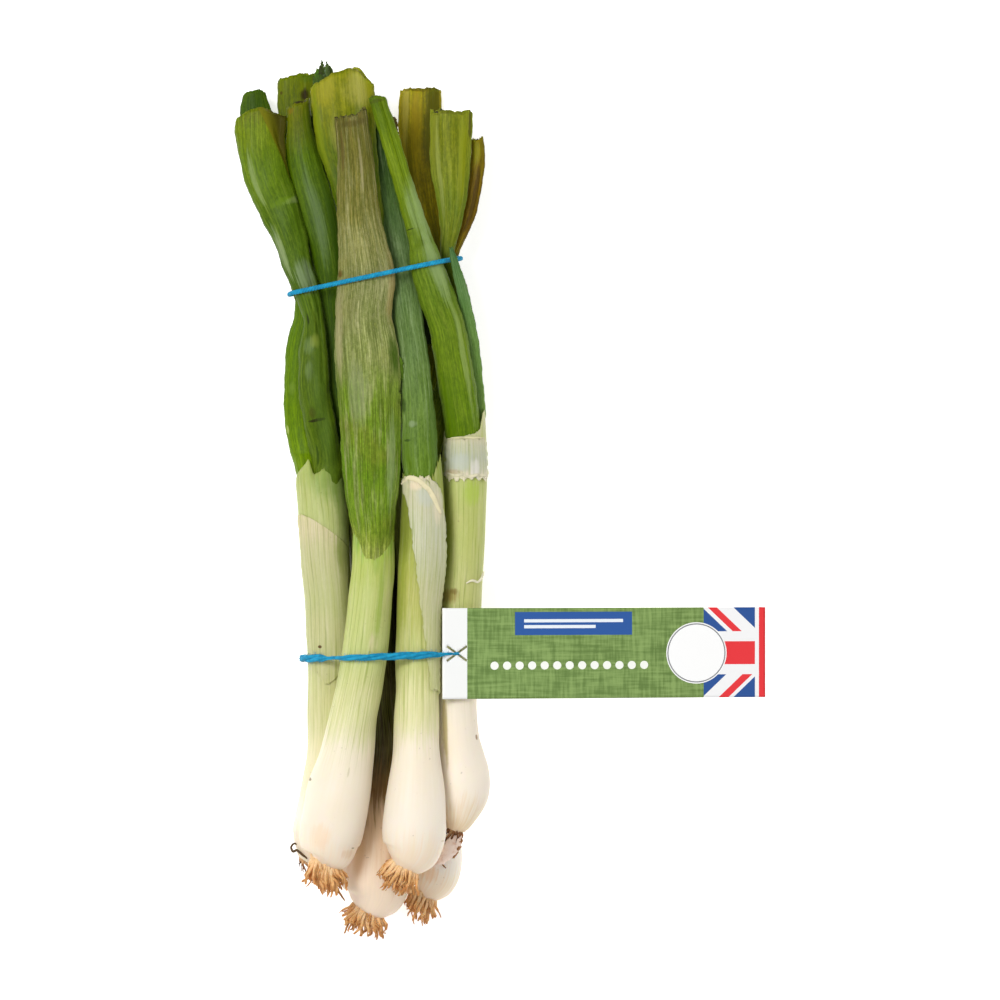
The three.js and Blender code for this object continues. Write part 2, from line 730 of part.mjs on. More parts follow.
// The outline of a set of points as a rubber band would lie, going round to the left.
function tightOutline(points) {
  const sorted = [...points].sort((p, q) => p[0] - q[0] || p[1] - q[1]);
  const half = (list) => {
    const chain = [];
    list.forEach((p) => {
      while (chain.length > 1) {
        const a = chain[chain.length - 2];
        const b = chain[chain.length - 1];
        const turn = (b[0] - a[0]) * (p[1] - a[1]) - (b[1] - a[1]) * (p[0] - a[0]);
        if (turn > 0) break;
        chain.pop();
      }
      chain.push(p);
    });
    chain.pop();
    return chain;
  };
  return [...half(sorted), ...half([...sorted].reverse())];
}

function bandLoop(band, ringSets) {
  const touched = ringSets.flatMap((rings) => crossings(rings, band));
  const spaced = [];
  tightOutline(touched).forEach(([x, z]) => {
    for (let k = 0; k < 16; k += 1) {
      const angle = (k * Math.PI) / 8;
      const reach = band.radius + clearance + bandSlack;
      spaced.push([x + reach * Math.cos(angle), z + reach * Math.sin(angle)]);
    }
  });
  const outline = tightOutline(spaced);
  const reach = [0];
  outline.forEach((p, i) => {
    const q = outline[(i + 1) % outline.length];
    reach.push(reach[i] + Math.hypot(q[0] - p[0], q[1] - p[1]));
  });
  const total = reach[outline.length];
  const loop = [];
  for (let step = 0; step < bandSteps; step += 1) {
    const along = (total * step) / bandSteps;
    let i = 0;
    while (along > reach[i + 1]) i += 1;
    const part = (along - reach[i]) / (reach[i + 1] - reach[i]);
    const p = outline[i];
    const q = outline[(i + 1) % outline.length];
    loop.push([p[0] + (q[0] - p[0]) * part, p[1] + (q[1] - p[1]) * part]);
  }
  return loop;
}

function bandRadius(band, x, z) {
  return x > band.thinFrom && z > topHeight ? band.thinRadius : band.radius;
}

function bandGeometry(band, loop, extra) {
  const facing = new THREE.Vector3(-band.slope, 1, 0).normalize();
  const rings = loop.map((point, i) => {
    const before = loop[(i + bandSteps - 1) % bandSteps];
    const after = loop[(i + 1) % bandSteps];
    const outward = new THREE.Vector3(after[1] - before[1], 0, before[0] - after[0]);
    outward.y = band.slope * outward.x;
    outward.normalize();
    const centre = new THREE.Vector3(point[0], band.middle + band.slope * point[0], point[1]);
    const radius = bandRadius(band, point[0], point[1]) + extra;
    const ring = [];
    for (let j = 0; j < bandSides; j += 1) {
      const angle = (2 * Math.PI * j) / bandSides;
      const corner = centre.clone();
      corner.addScaledVector(outward, radius * Math.cos(angle));
      corner.addScaledVector(facing, radius * Math.sin(angle));
      ring.push(corner);
    }
    return ring;
  });
  return ringLoft(rings);
}

// The card leans from over the band at its slits down to the surface at its far end.
function tagGeometry(loop) {
  const upper = loop.filter((p) => p[1] > topHeight);
  upper.sort((p, q) => Math.abs(p[0] - slit.x) - Math.abs(q[0] - slit.x));
  const nearest = upper[0];
  const tilt = Math.atan2(nearest[1] - tag.thick / 2, tag.right - slit.x);
  const along = new THREE.Vector3(Math.cos(tilt), 0, -Math.sin(tilt));
  const normal = new THREE.Vector3(Math.sin(tilt), 0, Math.cos(tilt));
  const length = (tag.right - tag.left) / Math.cos(tilt);
  const height = tag.top - tag.bottom;
  const centre = new THREE.Vector3(tag.right, (tag.top + tag.bottom) / 2, 0);
  centre.addScaledVector(along, -length / 2);
  centre.addScaledVector(normal, tag.thick / 2);
  const place = new THREE.Matrix4().makeBasis(along, new THREE.Vector3(0, 1, 0), normal).setPosition(centre);
  let card = toSolid(new THREE.BoxGeometry(length, height, tag.thick).applyMatrix4(place));
  const slitAlong = (slit.x - tag.right) / Math.cos(tilt) + length / 2;
  [slit.angle, -slit.angle].forEach((angle) => {
    const cut = new THREE.BoxGeometry(slit.length, slit.width, 4 * tag.thick);
    cut.rotateZ(angle);
    cut.translate(slitAlong, slit.y - centre.y, 0);
    cut.applyMatrix4(place);
    card = card.subtract(toSolid(cut));
  });
  const room = bandGeometry(bands.lower, loop, clearance);
  return toGeometry(card.subtract(toSolid(room)));
}

const bunch = new THREE.Group();

function addPiece(name, geometry, colour, roughness) {
  const material = new THREE.MeshStandardMaterial({ color: colour, roughness, metalness: 0 });
  const mesh = new THREE.Mesh(geometry, material);
  mesh.name = name;
  bunch.add(mesh);
  return mesh;
}

const shaftSets = {};
Object.entries(shafts).forEach(([letter, stations]) => {
  const rings = shaftRings(stations);
  shaftSets[letter] = rings;
  const first = new THREE.Vector3(...stations[0].slice(0, 3));
  const last = new THREE.Vector3(...stations[stations.length - 1].slice(0, 3));
  addPiece(`onion_${letter}_shaft`, loft(rings, first, last), colours.shaft, 0.45);
  addPiece(`onion_${letter}_roots`, rootsGeometry(rootTufts[letter], stations), colours.root, 0.85);
});

const leafSets = {};
Object.entries(leaves).forEach(([name, leaf], i) => {
  leafSets[name] = leafRings(leaf, i).rings;
  addPiece(`onion_${name}`, leafGeometry(leaf, i), leaf.colour, 0.5);
});

const overBand = 'd_leaf_2';
const tiedAbove = Object.keys(leafSets)
  .filter((name) => name !== overBand)
  .map((name) => leafSets[name]);
const upperLoop = bandLoop(bands.upper, tiedAbove);
addPiece('band_upper', bandGeometry(bands.upper, upperLoop, 0), colours.band, 0.6);

const lowerLoop = bandLoop(bands.lower, Object.values(shaftSets));
addPiece('band_lower', bandGeometry(bands.lower, lowerLoop, 0), colours.band, 0.6);
addPiece('tag', tagGeometry(lowerLoop), colours.card, 0.55);

// The origin goes to the middle of the underside of the whole bunch.
const extent = new THREE.Box3().setFromObject(bunch);
const middle = extent.getCenter(new THREE.Vector3());
const root = new THREE.Group();
bunch.position.set(-middle.x, -middle.y, -extent.min.z);
root.add(bunch);

export default root;
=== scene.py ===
import math
import random

import bpy
import numpy as np
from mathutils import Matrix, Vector


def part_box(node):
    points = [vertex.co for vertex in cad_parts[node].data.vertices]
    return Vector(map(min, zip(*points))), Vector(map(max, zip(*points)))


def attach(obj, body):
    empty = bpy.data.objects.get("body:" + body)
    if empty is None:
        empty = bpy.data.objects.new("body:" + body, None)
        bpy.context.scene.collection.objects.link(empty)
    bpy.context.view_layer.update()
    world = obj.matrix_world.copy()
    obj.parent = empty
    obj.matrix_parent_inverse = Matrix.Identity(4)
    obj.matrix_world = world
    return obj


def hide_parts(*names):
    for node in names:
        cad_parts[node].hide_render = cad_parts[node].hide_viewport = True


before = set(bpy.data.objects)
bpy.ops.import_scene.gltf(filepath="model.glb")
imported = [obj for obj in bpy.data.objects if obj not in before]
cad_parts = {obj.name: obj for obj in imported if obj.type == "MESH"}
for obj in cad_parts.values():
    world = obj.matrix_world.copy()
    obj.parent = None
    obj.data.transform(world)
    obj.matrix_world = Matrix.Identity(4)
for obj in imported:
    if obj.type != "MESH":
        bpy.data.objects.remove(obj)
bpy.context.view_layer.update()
print("frame loaded:", len(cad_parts), "nodes")

# The bunch's own frame is in millimetres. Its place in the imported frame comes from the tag's box.
tagSize = {"left": 15.8, "right": 112.4, "top": -32.1, "bottom": -59.1, "thick": 0.6}
tagLow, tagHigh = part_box("tag")
shiftX = tagLow[0] * 1000 - tagSize["left"]
shiftY = tagHigh[1] * 1000 - tagSize["top"]


def toMetres(points):
    moved = np.array(points, dtype=float)
    moved[..., 2] = np.maximum(moved[..., 2], 0.0)  # nothing sinks into the surface
    moved[..., 0] += shiftX
    moved[..., 1] += shiftY
    return moved / 1000


def hexColour(code):
    parts = [int(code[i:i + 2], 16) / 255 for i in (1, 3, 5)]
    linear = [p / 12.92 if p <= 0.04045 else ((p + 0.055) / 1.055) ** 2.4 for p in parts]
    return (*linear, 1.0)


# Smooth places between a limb's stations: x, y, z, half width, half height, from its base to its tip
def sampleStations(stations, count):
    rows = np.array(stations, dtype=float)
    steps = np.linalg.norm(np.diff(rows[:, :3], axis=0), axis=1)
    reach = np.concatenate([[0.0], np.cumsum(steps)])
    last = len(rows) - 1
    slope = np.zeros_like(rows)
    for i in range(len(rows)):
        low = max(i - 1, 0)
        high = min(i + 1, last)
        slope[i] = (rows[high] - rows[low]) / (reach[high] - reach[low])
    along = reach[-1] * np.linspace(0, 1, count)
    index = np.clip(np.searchsorted(reach, along, side="right") - 1, 0, last - 1)
    gap = reach[index + 1] - reach[index]
    t = ((along - reach[index]) / gap)[:, None]
    gap = gap[:, None]
    rise = t * t * (3 - 2 * t)
    leave = t * (1 - t) ** 2 * gap * slope[index]
    arrive = t * t * (t - 1) * gap * slope[index + 1]
    return rows[index] + (rows[index + 1] - rows[index]) * rise + leave + arrive


def makeLimb(stations, bow=0.0, fullness=1.0, count=240):
    samples = sampleStations(stations, count)
    ahead = np.gradient(samples[:, :3], axis=0)
    ahead /= np.linalg.norm(ahead, axis=1)[:, None]
    side = np.cross(ahead, [0.0, 0.0, 1.0])
    side /= np.linalg.norm(side, axis=1)[:, None]
    steps = np.linalg.norm(np.diff(samples[:, :3], axis=0), axis=1)
    reach = np.concatenate([[0.0], np.cumsum(steps)])
    return {
        "v": reach / reach[-1],
        "length": reach[-1],
        "data": np.hstack([samples, side, np.cross(side, ahead), ahead]),
        "bow": bow,
        "fullness": fullness,
    }


# Points on a limb's skin: v runs 0 to 1 from base to tip, angle goes round from +X over the top
def limbPoints(limb, v, angle, lift=0.0, push=0.0):
    v, angle, lift, push = np.broadcast_arrays(v, angle, lift, push)
    data = [np.interp(v, limb["v"], limb["data"][:, k]) for k in range(14)]
    cosine = np.cos(angle)
    sine = np.sin(angle)
    power = limb["fullness"]
    across = np.sign(cosine) * np.abs(cosine) ** power
    over = np.sign(sine) * np.abs(sine) ** power
    wide = data[3]
    thick = data[4]
    outX = cosine / np.maximum(wide, 0.2)
    outZ = sine / np.maximum(thick, 0.2)
    size = np.hypot(outX, outZ)
    sideways = wide * across + lift * outX / size
    upward = thick * over + limb["bow"] * (0.5 - across ** 2) + lift * outZ / size
    places = [data[k] + data[5 + k] * sideways + data[8 + k] * upward + data[11 + k] * push for k in range(3)]
    return np.stack(places, axis=-1)


def addObject(name, data):
    added = bpy.data.objects.new(name, data)
    bpy.context.scene.collection.objects.link(added)
    return added


def buildMesh(name, vertices, faces, uvs, faceSlots, materials):
    mesh = bpy.data.meshes.new(name)
    mesh.from_pydata([tuple(p) for p in toMetres(vertices)], [], faces)
    layer = mesh.uv_layers.new(name="UVMap")
    layer.data.foreach_set("uv", np.array(uvs, dtype=float).ravel())
    for material in materials:
        mesh.materials.append(material)
    mesh.polygons.foreach_set("material_index", faceSlots)
    mesh.polygons.foreach_set("use_smooth", [True] * len(faces))
    mesh.validate()
    mesh.update()
    return addObject(name, mesh)


# A closed body from rings of points. vs gives each ring's place along the limb for the pattern.
def ringPiece(name, rings, vs, materials, ringSlots=None):
    count, sides, _ = rings.shape
    ringSlots = ringSlots or [0] * (count - 1)
    vertices = [tuple(p) for p in rings.reshape(-1, 3)]
    faces, uvs, slots = [], [], []
    for i in range(count - 1):
        for j in range(sides):
            k = (j + 1) % sides
            faces.append((i * sides + j, (i + 1) * sides + j, (i + 1) * sides + k, i * sides + k))
            u, w = j / sides, (j + 1) / sides
            uvs += [(u, vs[i]), (u, vs[i + 1]), (w, vs[i + 1]), (w, vs[i])]
            slots.append(ringSlots[i])
    for end, ring in ((0, rings[0]), (count - 1, rings[-1])):
        vertices.append(tuple(ring.mean(axis=0)))
        middle = len(vertices) - 1
        for j in range(sides):
            k = (j + 1) % sides
            corner = (middle, end * sides + j, end * sides + k)
            faces.append(corner if end == 0 else (corner[0], corner[2], corner[1]))
            uvs += [((j + 0.5) / sides, vs[end]), (j / sides, vs[end]), ((j + 1) / sides, vs[end])]
            slots.append(ringSlots[min(end, count - 2)])
    return buildMesh(name, vertices, faces, uvs, slots, materials)


# A thin sheet with a small thickness from a grid of points on its upper side
def sheetPiece(name, top, under, vs, us, materials, rimSlot=0):
    count, across, _ = top.shape
    us, vs = (np.broadcast_to(values, (count, across)).tolist() for values in (us, vs))
    slots = []
    vertices = [tuple(p) for p in top.reshape(-1, 3)] + [tuple(p) for p in under.reshape(-1, 3)]
    half = count * across
    faces, uvs = [], []
    for i in range(count - 1):
        for j in range(across - 1):
            a = i * across + j
            quad = (a, a + across, a + across + 1, a + 1)
            corners = ((i, j), (i + 1, j), (i + 1, j + 1), (i, j + 1))
            spots = [(us[m][n], vs[m][n]) for m, n in corners]
            faces.append(quad)
            uvs += spots
            slots += [0, rimSlot]
            faces.append(tuple(half + q for q in reversed(quad)))
            uvs += list(reversed(spots))
    rim = [(0, j) for j in range(across)]
    rim += [(i, across - 1) for i in range(1, count)]
    rim += [(count - 1, j) for j in range(across - 2, -1, -1)]
    rim += [(i, 0) for i in range(count - 2, 0, -1)]
    for (i, j), (m, n) in zip(rim, rim[1:] + rim[:1]):
        a, b = i * across + j, m * across + n
        faces.append((a, b, half + b, half + a))
        uvs += [(us[i][j], vs[i][j]), (us[m][n], vs[m][n]), (us[m][n], vs[m][n]), (us[i][j], vs[i][j])]
        slots.append(rimSlot)
    return buildMesh(name, vertices, faces, uvs, slots, materials)


# Soft lumps and fine ribs on a skin, in millimetres outwards
def skinRelief(v, angle, seed, lumps, ribs=0.0, ribCount=11):
    draw = random.Random(seed)
    total = np.zeros(np.broadcast(v, angle).shape)
    for _ in range(7):
        turns = draw.choice([1, 2, 3, 4])
        waves = draw.uniform(1.0, 9.0)
        phase = draw.uniform(0, 6.28)
        total = total + lumps / 4 * np.sin(turns * angle + waves * v * 6.28 + phase)
    for k in range(3):
        drift = draw.uniform(-1.5, 1.5)
        phase = draw.uniform(0, 6.28)
        total = total + ribs / 2 * np.sin((ribCount + 5 * k) * angle + drift * v * 6.28 + phase)
    return total


# A fold or dent along a line on the skin, from (v, angle) to (v, angle)
def creaseRelief(limb, v, angle, crease):
    startV, startAngle, endV, endAngle, depth, width = crease
    wide = 5.0
    length = limb["length"]
    px, py = v * length, angle * wide
    ax, ay = startV * length, startAngle * wide
    bx, by = endV * length, endAngle * wide
    span = (bx - ax) ** 2 + (by - ay) ** 2
    t = np.clip(((px - ax) * (bx - ax) + (py - ay) * (by - ay)) / span, 0, 1)
    distance = np.hypot(px - ax - t * (bx - ax), py - ay - t * (by - ay))
    return -depth * np.exp(-((distance / width) ** 2))


# The part of the length and the angle round a limb's upper side, from a place seen from above
def skinPlace(limb, x, y):
    along = np.interp(y, limb["data"][:, 1], limb["v"])
    centre, wide = (np.interp(along, limb["v"], limb["data"][:, k]) for k in (0, 3))
    across = np.clip((x - centre) / wide, -0.98, 0.98)
    cosine = np.sign(across) * np.abs(across) ** (1 / limb["fullness"])
    return along, np.arccos(cosine)


# A stain as its place round and along the limb, its half sizes there, and its look
def stainOn(limb, stain):
    x, y, halfWide, halfLong, code, strength = stain
    along, angle = (float(value) for value in skinPlace(limb, x, y))
    wide = float(np.interp(along, limb["v"], limb["data"][:, 3]))
    halfAround = min(halfWide / (2 * math.pi * wide * math.sin(angle)), 0.25)
    broad = min(halfWide, halfLong) > 0.7
    return angle / (2 * math.pi), along, halfAround, halfLong / limb["length"], code, strength, broad


# What a node gives out. Fields are added, multiplied and compared like numbers.
class Field:
    def __init__(self, socket):
        self.socket = socket

    def math(self, kind, other=0.5, clamp=False, turned=False):
        values = (other, self) if turned else (self, other)
        tree = self.socket.id_data
        return out(addNode(tree, "ShaderNodeMath", list(enumerate(values)), operation=kind, use_clamp=clamp))

    def __add__(self, other):
        return self.math("ADD", other)

    def __sub__(self, other):
        return self.math("SUBTRACT", other)

    def __rsub__(self, other):
        return self.math("SUBTRACT", other, turned=True)

    def __mul__(self, other):
        return self.math("MULTIPLY", other)

    def __pow__(self, other):
        return self.math("POWER", other)

    def __gt__(self, other):
        return self.math("GREATER_THAN", other)

    def __lt__(self, other):
        return self.math("LESS_THAN", other)

    def vector(self, kind, other):
        tree = self.socket.id_data
        links = [(0, self), ("Scale" if kind == "SCALE" else 1, other)]
        return out(addNode(tree, "ShaderNodeVectorMath", links, operation=kind))


def out(node, label=0):
    return Field(node.outputs[label])


# A socket takes a field, a node's first output or a plain value
def feed(socket, value):
    if isinstance(value, bpy.types.Node):
        value = out(value)
    if isinstance(value, Field):
        socket.id_data.links.new(value.socket, socket)
    else:
        socket.default_value = value


def addNode(tree, kind, links=(), **settings):
    node = tree.nodes.new(kind)
    for key, value in settings.items():
        setattr(node, key, value)
    for label, value in links:
        feed(node.inputs[label], value)
    return node


# A group of nodes with its named inputs as fields and its output node
def newGroup(name, inputs, outputs):
    group = bpy.data.node_groups.new(name, "ShaderNodeTree")
    for label, value in inputs:
        kind = "NodeSocketColor" if isinstance(value, tuple) else "NodeSocketFloat"
        group.interface.new_socket(label, in_out="INPUT", socket_type=kind).default_value = value
    for label in outputs:
        kind = "NodeSocketColor" if label == "Color" else "NodeSocketFloat"
        group.interface.new_socket(label, in_out="OUTPUT", socket_type=kind)
    given = {socket.name: Field(socket) for socket in group.nodes.new("NodeGroupInput").outputs}
    return group, given, group.nodes.new("NodeGroupOutput")


def mixNode(tree, factor, a, b, blend="MIX"):
    node = addNode(tree, "ShaderNodeMix", [(0, factor), (6, a), (7, b)], data_type="RGBA", blend_type=blend)
    return out(node, 2)


def rangeNode(tree, value, low, high, toLow=0.0, toHigh=1.0, curve="SMOOTHSTEP"):
    return out(addNode(tree, "ShaderNodeMapRange", [
        ("Value", value), ("From Min", low), ("From Max", high), ("To Min", toLow), ("To Max", toHigh),
    ], interpolation_type=curve), "Result")


def noiseNode(tree, vector, scale, detail=3.0, roughness=0.55):
    return out(addNode(tree, "ShaderNodeTexNoise", [
        ("Vector", vector), ("Scale", scale), ("Detail", detail), ("Roughness", roughness),
    ]), "Fac")


def joinPlace(tree, x, y, z):
    return out(addNode(tree, "ShaderNodeCombineXYZ", [("X", x), ("Y", y), ("Z", z)]))


def uvPlace(tree):
    split = addNode(tree, "ShaderNodeSeparateXYZ", [(0, addNode(tree, "ShaderNodeUVMap", uv_map="UVMap"))])
    return out(split, 0), out(split, 1)


def objectPlace(tree):
    return out(tree.nodes.new("ShaderNodeTexCoord"), "Object")


def bumpNormal(tree, height, strength, distance):
    links = [("Height", height), ("Strength", strength), ("Distance", distance)]
    return out(addNode(tree, "ShaderNodeBump", links))


# Where a spot lies round and along a limb, on a circle so that no seam shows at the back
def roundPlace(group, given, acrossScale, alongScale, seedScale=1.0):
    around, along = uvPlace(group)
    turn = around * 6.2832
    shifted = along * given["Length"] * alongScale + given["Seed"] * seedScale
    x, y = (turn.math(kind) * acrossScale for kind in ("COSINE", "SINE"))
    return joinPlace(group, x, y, shifted), around


# Long fibres and streaks that follow a leaf or shaft
def makeFibreGroup():
    group, given, gout = newGroup(
        "longFibres",
        [("Color", (0.2, 0.4, 0.1, 1)), ("Vein Color", (0.1, 0.2, 0.02, 1)),
         ("Streak Color", (0.5, 0.6, 0.4, 1)), ("Veins", 0.4), ("Streaks", 0.3),
         ("Vein Count", 60.0), ("Length", 12.0), ("Seed", 0.0)],
        ["Color", "Height", "Rough"],
    )
    finePlace, _ = roundPlace(group, given, given["Vein Count"] * 0.16, 0.22, 0.22)
    fine = noiseNode(group, finePlace, 2.2, 2.0, 0.6)
    broadPlace, _ = roundPlace(group, given, 3.2, 0.3, 0.3)
    broad = noiseNode(group, broadPlace, 1.6, 4.0, 0.6)
    lines = (1.0 - rangeNode(group, fine, 0.42, 0.62)) * given["Veins"]
    veined = mixNode(group, lines, given["Color"], given["Vein Color"])
    pale = rangeNode(group, broad, 0.48, 0.72) * given["Streaks"]
    pale = pale * rangeNode(group, fine, 0.3, 0.7, 0.55, 1.0)
    feed(gout.inputs["Color"], mixNode(group, pale, veined, given["Streak Color"]))
    feed(gout.inputs["Height"], fine * 0.7 + broad * 0.5)
    feed(gout.inputs["Rough"], rangeNode(group, broad, 0.35, 0.7, 0.4, 0.62))
    return group


# Fingers along the grain, for soft changes of colour and broken stains
def makeGrainGroup():
    group, given, gout = newGroup("longGrain", [("Length", 12.0), ("Seed", 0.0)], ["Fingers", "Crinkle"])
    broad, _ = roundPlace(group, given, 7.0, 0.35)
    feed(gout.inputs["Fingers"], noiseNode(group, broad, 1.6, 4.0, 0.65))
    fine, _ = roundPlace(group, given, 5.0, 2.4)
    feed(gout.inputs["Crinkle"], noiseNode(group, fine, 1.8, 4.0, 0.7))
    return group


# Thin straight lines along a shaft's layers
def makeLineGroup():
    group, given, gout = newGroup("ribLines", [("Count", 30.0), ("Length", 12.0), ("Seed", 0.0)], ["Mask"])
    place, around = roundPlace(group, given, 3.0, 0.12)
    drift = (noiseNode(group, place, 1.5, 2.0) - 0.5) * 2.2
    cell = (around * given["Count"] + drift).math("FRACT")
    line = rangeNode(group, (cell - 0.5).math("ABSOLUTE"), 0.02, 0.17, 1.0, 0.0)
    broken, _ = roundPlace(group, given, 9.0, 0.3)
    feed(gout.inputs["Mask"], line * rangeNode(group, noiseNode(group, broken, 1.4, 3.0), 0.36, 0.6))
    return group


# Blotches, specks and dry spots that don't follow the grain
def makeBlotchGroup():
    group, given, gout = newGroup(
        "blotches",
        [("Color", (0.2, 0.4, 0.1, 1)), ("Blotch Color", (0.3, 0.3, 0.1, 1)), ("Amount", 0.3),
         ("Scale", 60.0), ("Speck Color", (0.12, 0.07, 0.02, 1)), ("Specks", 0.2)],
        ["Color"],
    )
    place = objectPlace(group)
    mask = rangeNode(group, noiseNode(group, place, given["Scale"], 4.0, 0.5), 0.45, 0.7) * given["Amount"]
    blotched = mixNode(group, mask, given["Color"], given["Blotch Color"])
    dots = rangeNode(group, noiseNode(group, place, 900.0, 1.0), 0.7, 0.76)
    patches = rangeNode(group, noiseNode(group, place, 130.0, 2.0), 0.5, 0.65)
    specks = dots * patches * given["Specks"]
    feed(gout.inputs["Color"], mixNode(group, specks, blotched, given["Speck Color"]))
    return group


fibreGroup = makeFibreGroup()
blotchGroup = makeBlotchGroup()
grainGroup = makeGrainGroup()
lineGroup = makeLineGroup()


# A material whose plain shader inputs come from the keywords, with spaces as underscores
def startMaterial(name, **settings):
    material = bpy.data.materials.new(name)
    material.use_nodes = True
    tree = material.node_tree
    shader = tree.nodes["Principled BSDF"]
    for label, value in settings.items():
        shader.inputs[label.replace("_", " ")].default_value = value
    return material, tree, shader


def rampNode(tree, value, stops):
    ramp = addNode(tree, "ShaderNodeValToRGB", [(0, value)])
    ramp.color_ramp.interpolation = "EASE"
    elements = ramp.color_ramp.elements
    elements.remove(elements[-1])
    elements[0].position = stops[0][0]
    elements[0].color = hexColour(stops[0][1])
    for place, code in stops[1:]:
        elements.new(place).color = hexColour(code)
    return out(ramp)


darkTone = (0.46, 0.52, 0.34, 1.0)
litTone = (1.5, 1.45, 1.4, 1.0)
paceOfGrain = 8  # millimetres of a limb for one turn of the grain's noise
plainLook = {
    "wander": 90.0, "drift": 0.1, "fingers": 0.12, "clear": (-2.0, -1.0), "veins": 0.35, "streaks": 0.35,
    "veinCount": 60.0, "blotches": 0.25, "specks": 0.3, "tone": 0.95, "warm": (1.0, 1.0, 1.0), "matt": 0.0,
    "bump": 0.35, "grain": 0.3, "glow": 0.08, "coat": 0.0, "shine": 0.1,
}


# The skin of one leaf or shaft: colours along it, then fibres, blotches, stains and a waxy surface
def plantMaterial(name, given, length, seed, stains=()):
    look = {**plainLook, "blotch": given["streak"], **given}
    material, tree, shader = startMaterial(
        name, Subsurface_Weight=look["glow"], Subsurface_Radius=(0.6, 0.9, 0.3), Subsurface_Scale=0.003,
        Coat_Weight=look["coat"], Coat_Roughness=0.35, Specular_IOR_Level=look["shine"],
    )
    around, up = uvPlace(tree)
    place = objectPlace(tree)
    turns = length / paceOfGrain

    def useGroup(kind, values):
        return addNode(tree, "ShaderNodeGroup", values, node_tree=kind)

    grain = useGroup(grainGroup, [("Length", turns), ("Seed", seed * 5.3)])
    crinkle = out(grain, "Crinkle")
    fingers = out(grain, "Fingers") - 0.5
    wander = noiseNode(tree, place, look["wander"], 3.0) - 0.5
    along = up + (wander * look["drift"] + fingers * look["fingers"])
    colour = rampNode(tree, along, look["colours"])
    grown = rangeNode(tree, along, *look["clear"])
    if "lines" in look:
        lines = useGroup(lineGroup, [("Count", look["lines"]), ("Length", turns), ("Seed", seed * 2.9)])
        tinted = mixNode(tree, 1.0, colour, hexColour(look["lineTint"]), "MULTIPLY")
        colour = mixNode(tree, out(lines, "Mask") * grown * 0.55, colour, tinted)
    fibres = useGroup(fibreGroup, [
        ("Color", colour), ("Vein Color", hexColour(look["vein"])), ("Streak Color", hexColour(look["streak"])),
        ("Veins", grown * look["veins"]), ("Streaks", grown * look["streaks"]),
        ("Vein Count", look["veinCount"]), ("Length", turns), ("Seed", seed * 3.7),
    ])
    blotches = useGroup(blotchGroup, [
        ("Color", out(fibres, "Color")), ("Blotch Color", hexColour(look["blotch"])),
        ("Amount", look["blotches"]), ("Specks", look["specks"]),
    ])
    fineTone = (rangeNode(tree, crinkle, 0.4, 0.6, 0.0, 0.5)
                + rangeNode(tree, out(grain, "Fingers"), 0.38, 0.6, 0.0, 0.5))
    colour = mixNode(tree, fineTone * grown * look["tone"], out(blotches, "Color"), darkTone, "MULTIPLY")
    lit = rangeNode(tree, crinkle, 0.56, 0.7) * grown * look["tone"]
    colour = mixNode(tree, lit, colour, litTone, "MULTIPLY")
    colour = mixNode(tree, 1.0, colour, (*look["warm"], 1.0), "MULTIPLY")
    ragged = (noiseNode(tree, place, 700.0, 3.0) - 0.5) * 1.3
    torn = ragged * 0.6 + fingers * 3.2
    for aroundAt, alongAt, halfAround, halfAlong, code, strength, broad in stains:
        offAround = (around - aroundAt) * (1 / halfAround)
        offAlong = (up - alongAt) * (1 / halfAlong)
        far = offAround * offAround + offAlong * offAlong
        if broad:
            near = rangeNode(tree, far + torn, 0.0, 1.7, strength, 0.0)
        else:
            near = rangeNode(tree, far + ragged, 0.4, 1.3, strength, 0.0)
        colour = mixNode(tree, near, colour, hexColour(code))
    # a fold's hollow is painted dark as painted shade, with a thin line of the edge colour along it
    if "fold" in look:
        fold = look["fold"]
        limit = rangeNode(tree, up, fold["from"], 1.0, 0.0, fold["to"], "LINEAR")
        intoFoldShade = limit - around + ragged * 0.006
        colour = mixNode(tree, rangeNode(tree, intoFoldShade, 0.0, 0.008), colour, hexColour(fold["edge"]))
        colour = mixNode(tree, rangeNode(tree, intoFoldShade, 0.01, 0.13), colour, hexColour(fold["colour"]))
    feed(shader.inputs["Base Color"], colour)
    feed(shader.inputs["Roughness"], out(fibres, "Rough").math("ADD", look["matt"], clamp=True))
    height = out(fibres, "Height") + crinkle * look["grain"]
    feed(shader.inputs["Normal"], bumpNormal(tree, height, grown * look["bump"], 0.0004))
    return material


# Shafts with their bulbs

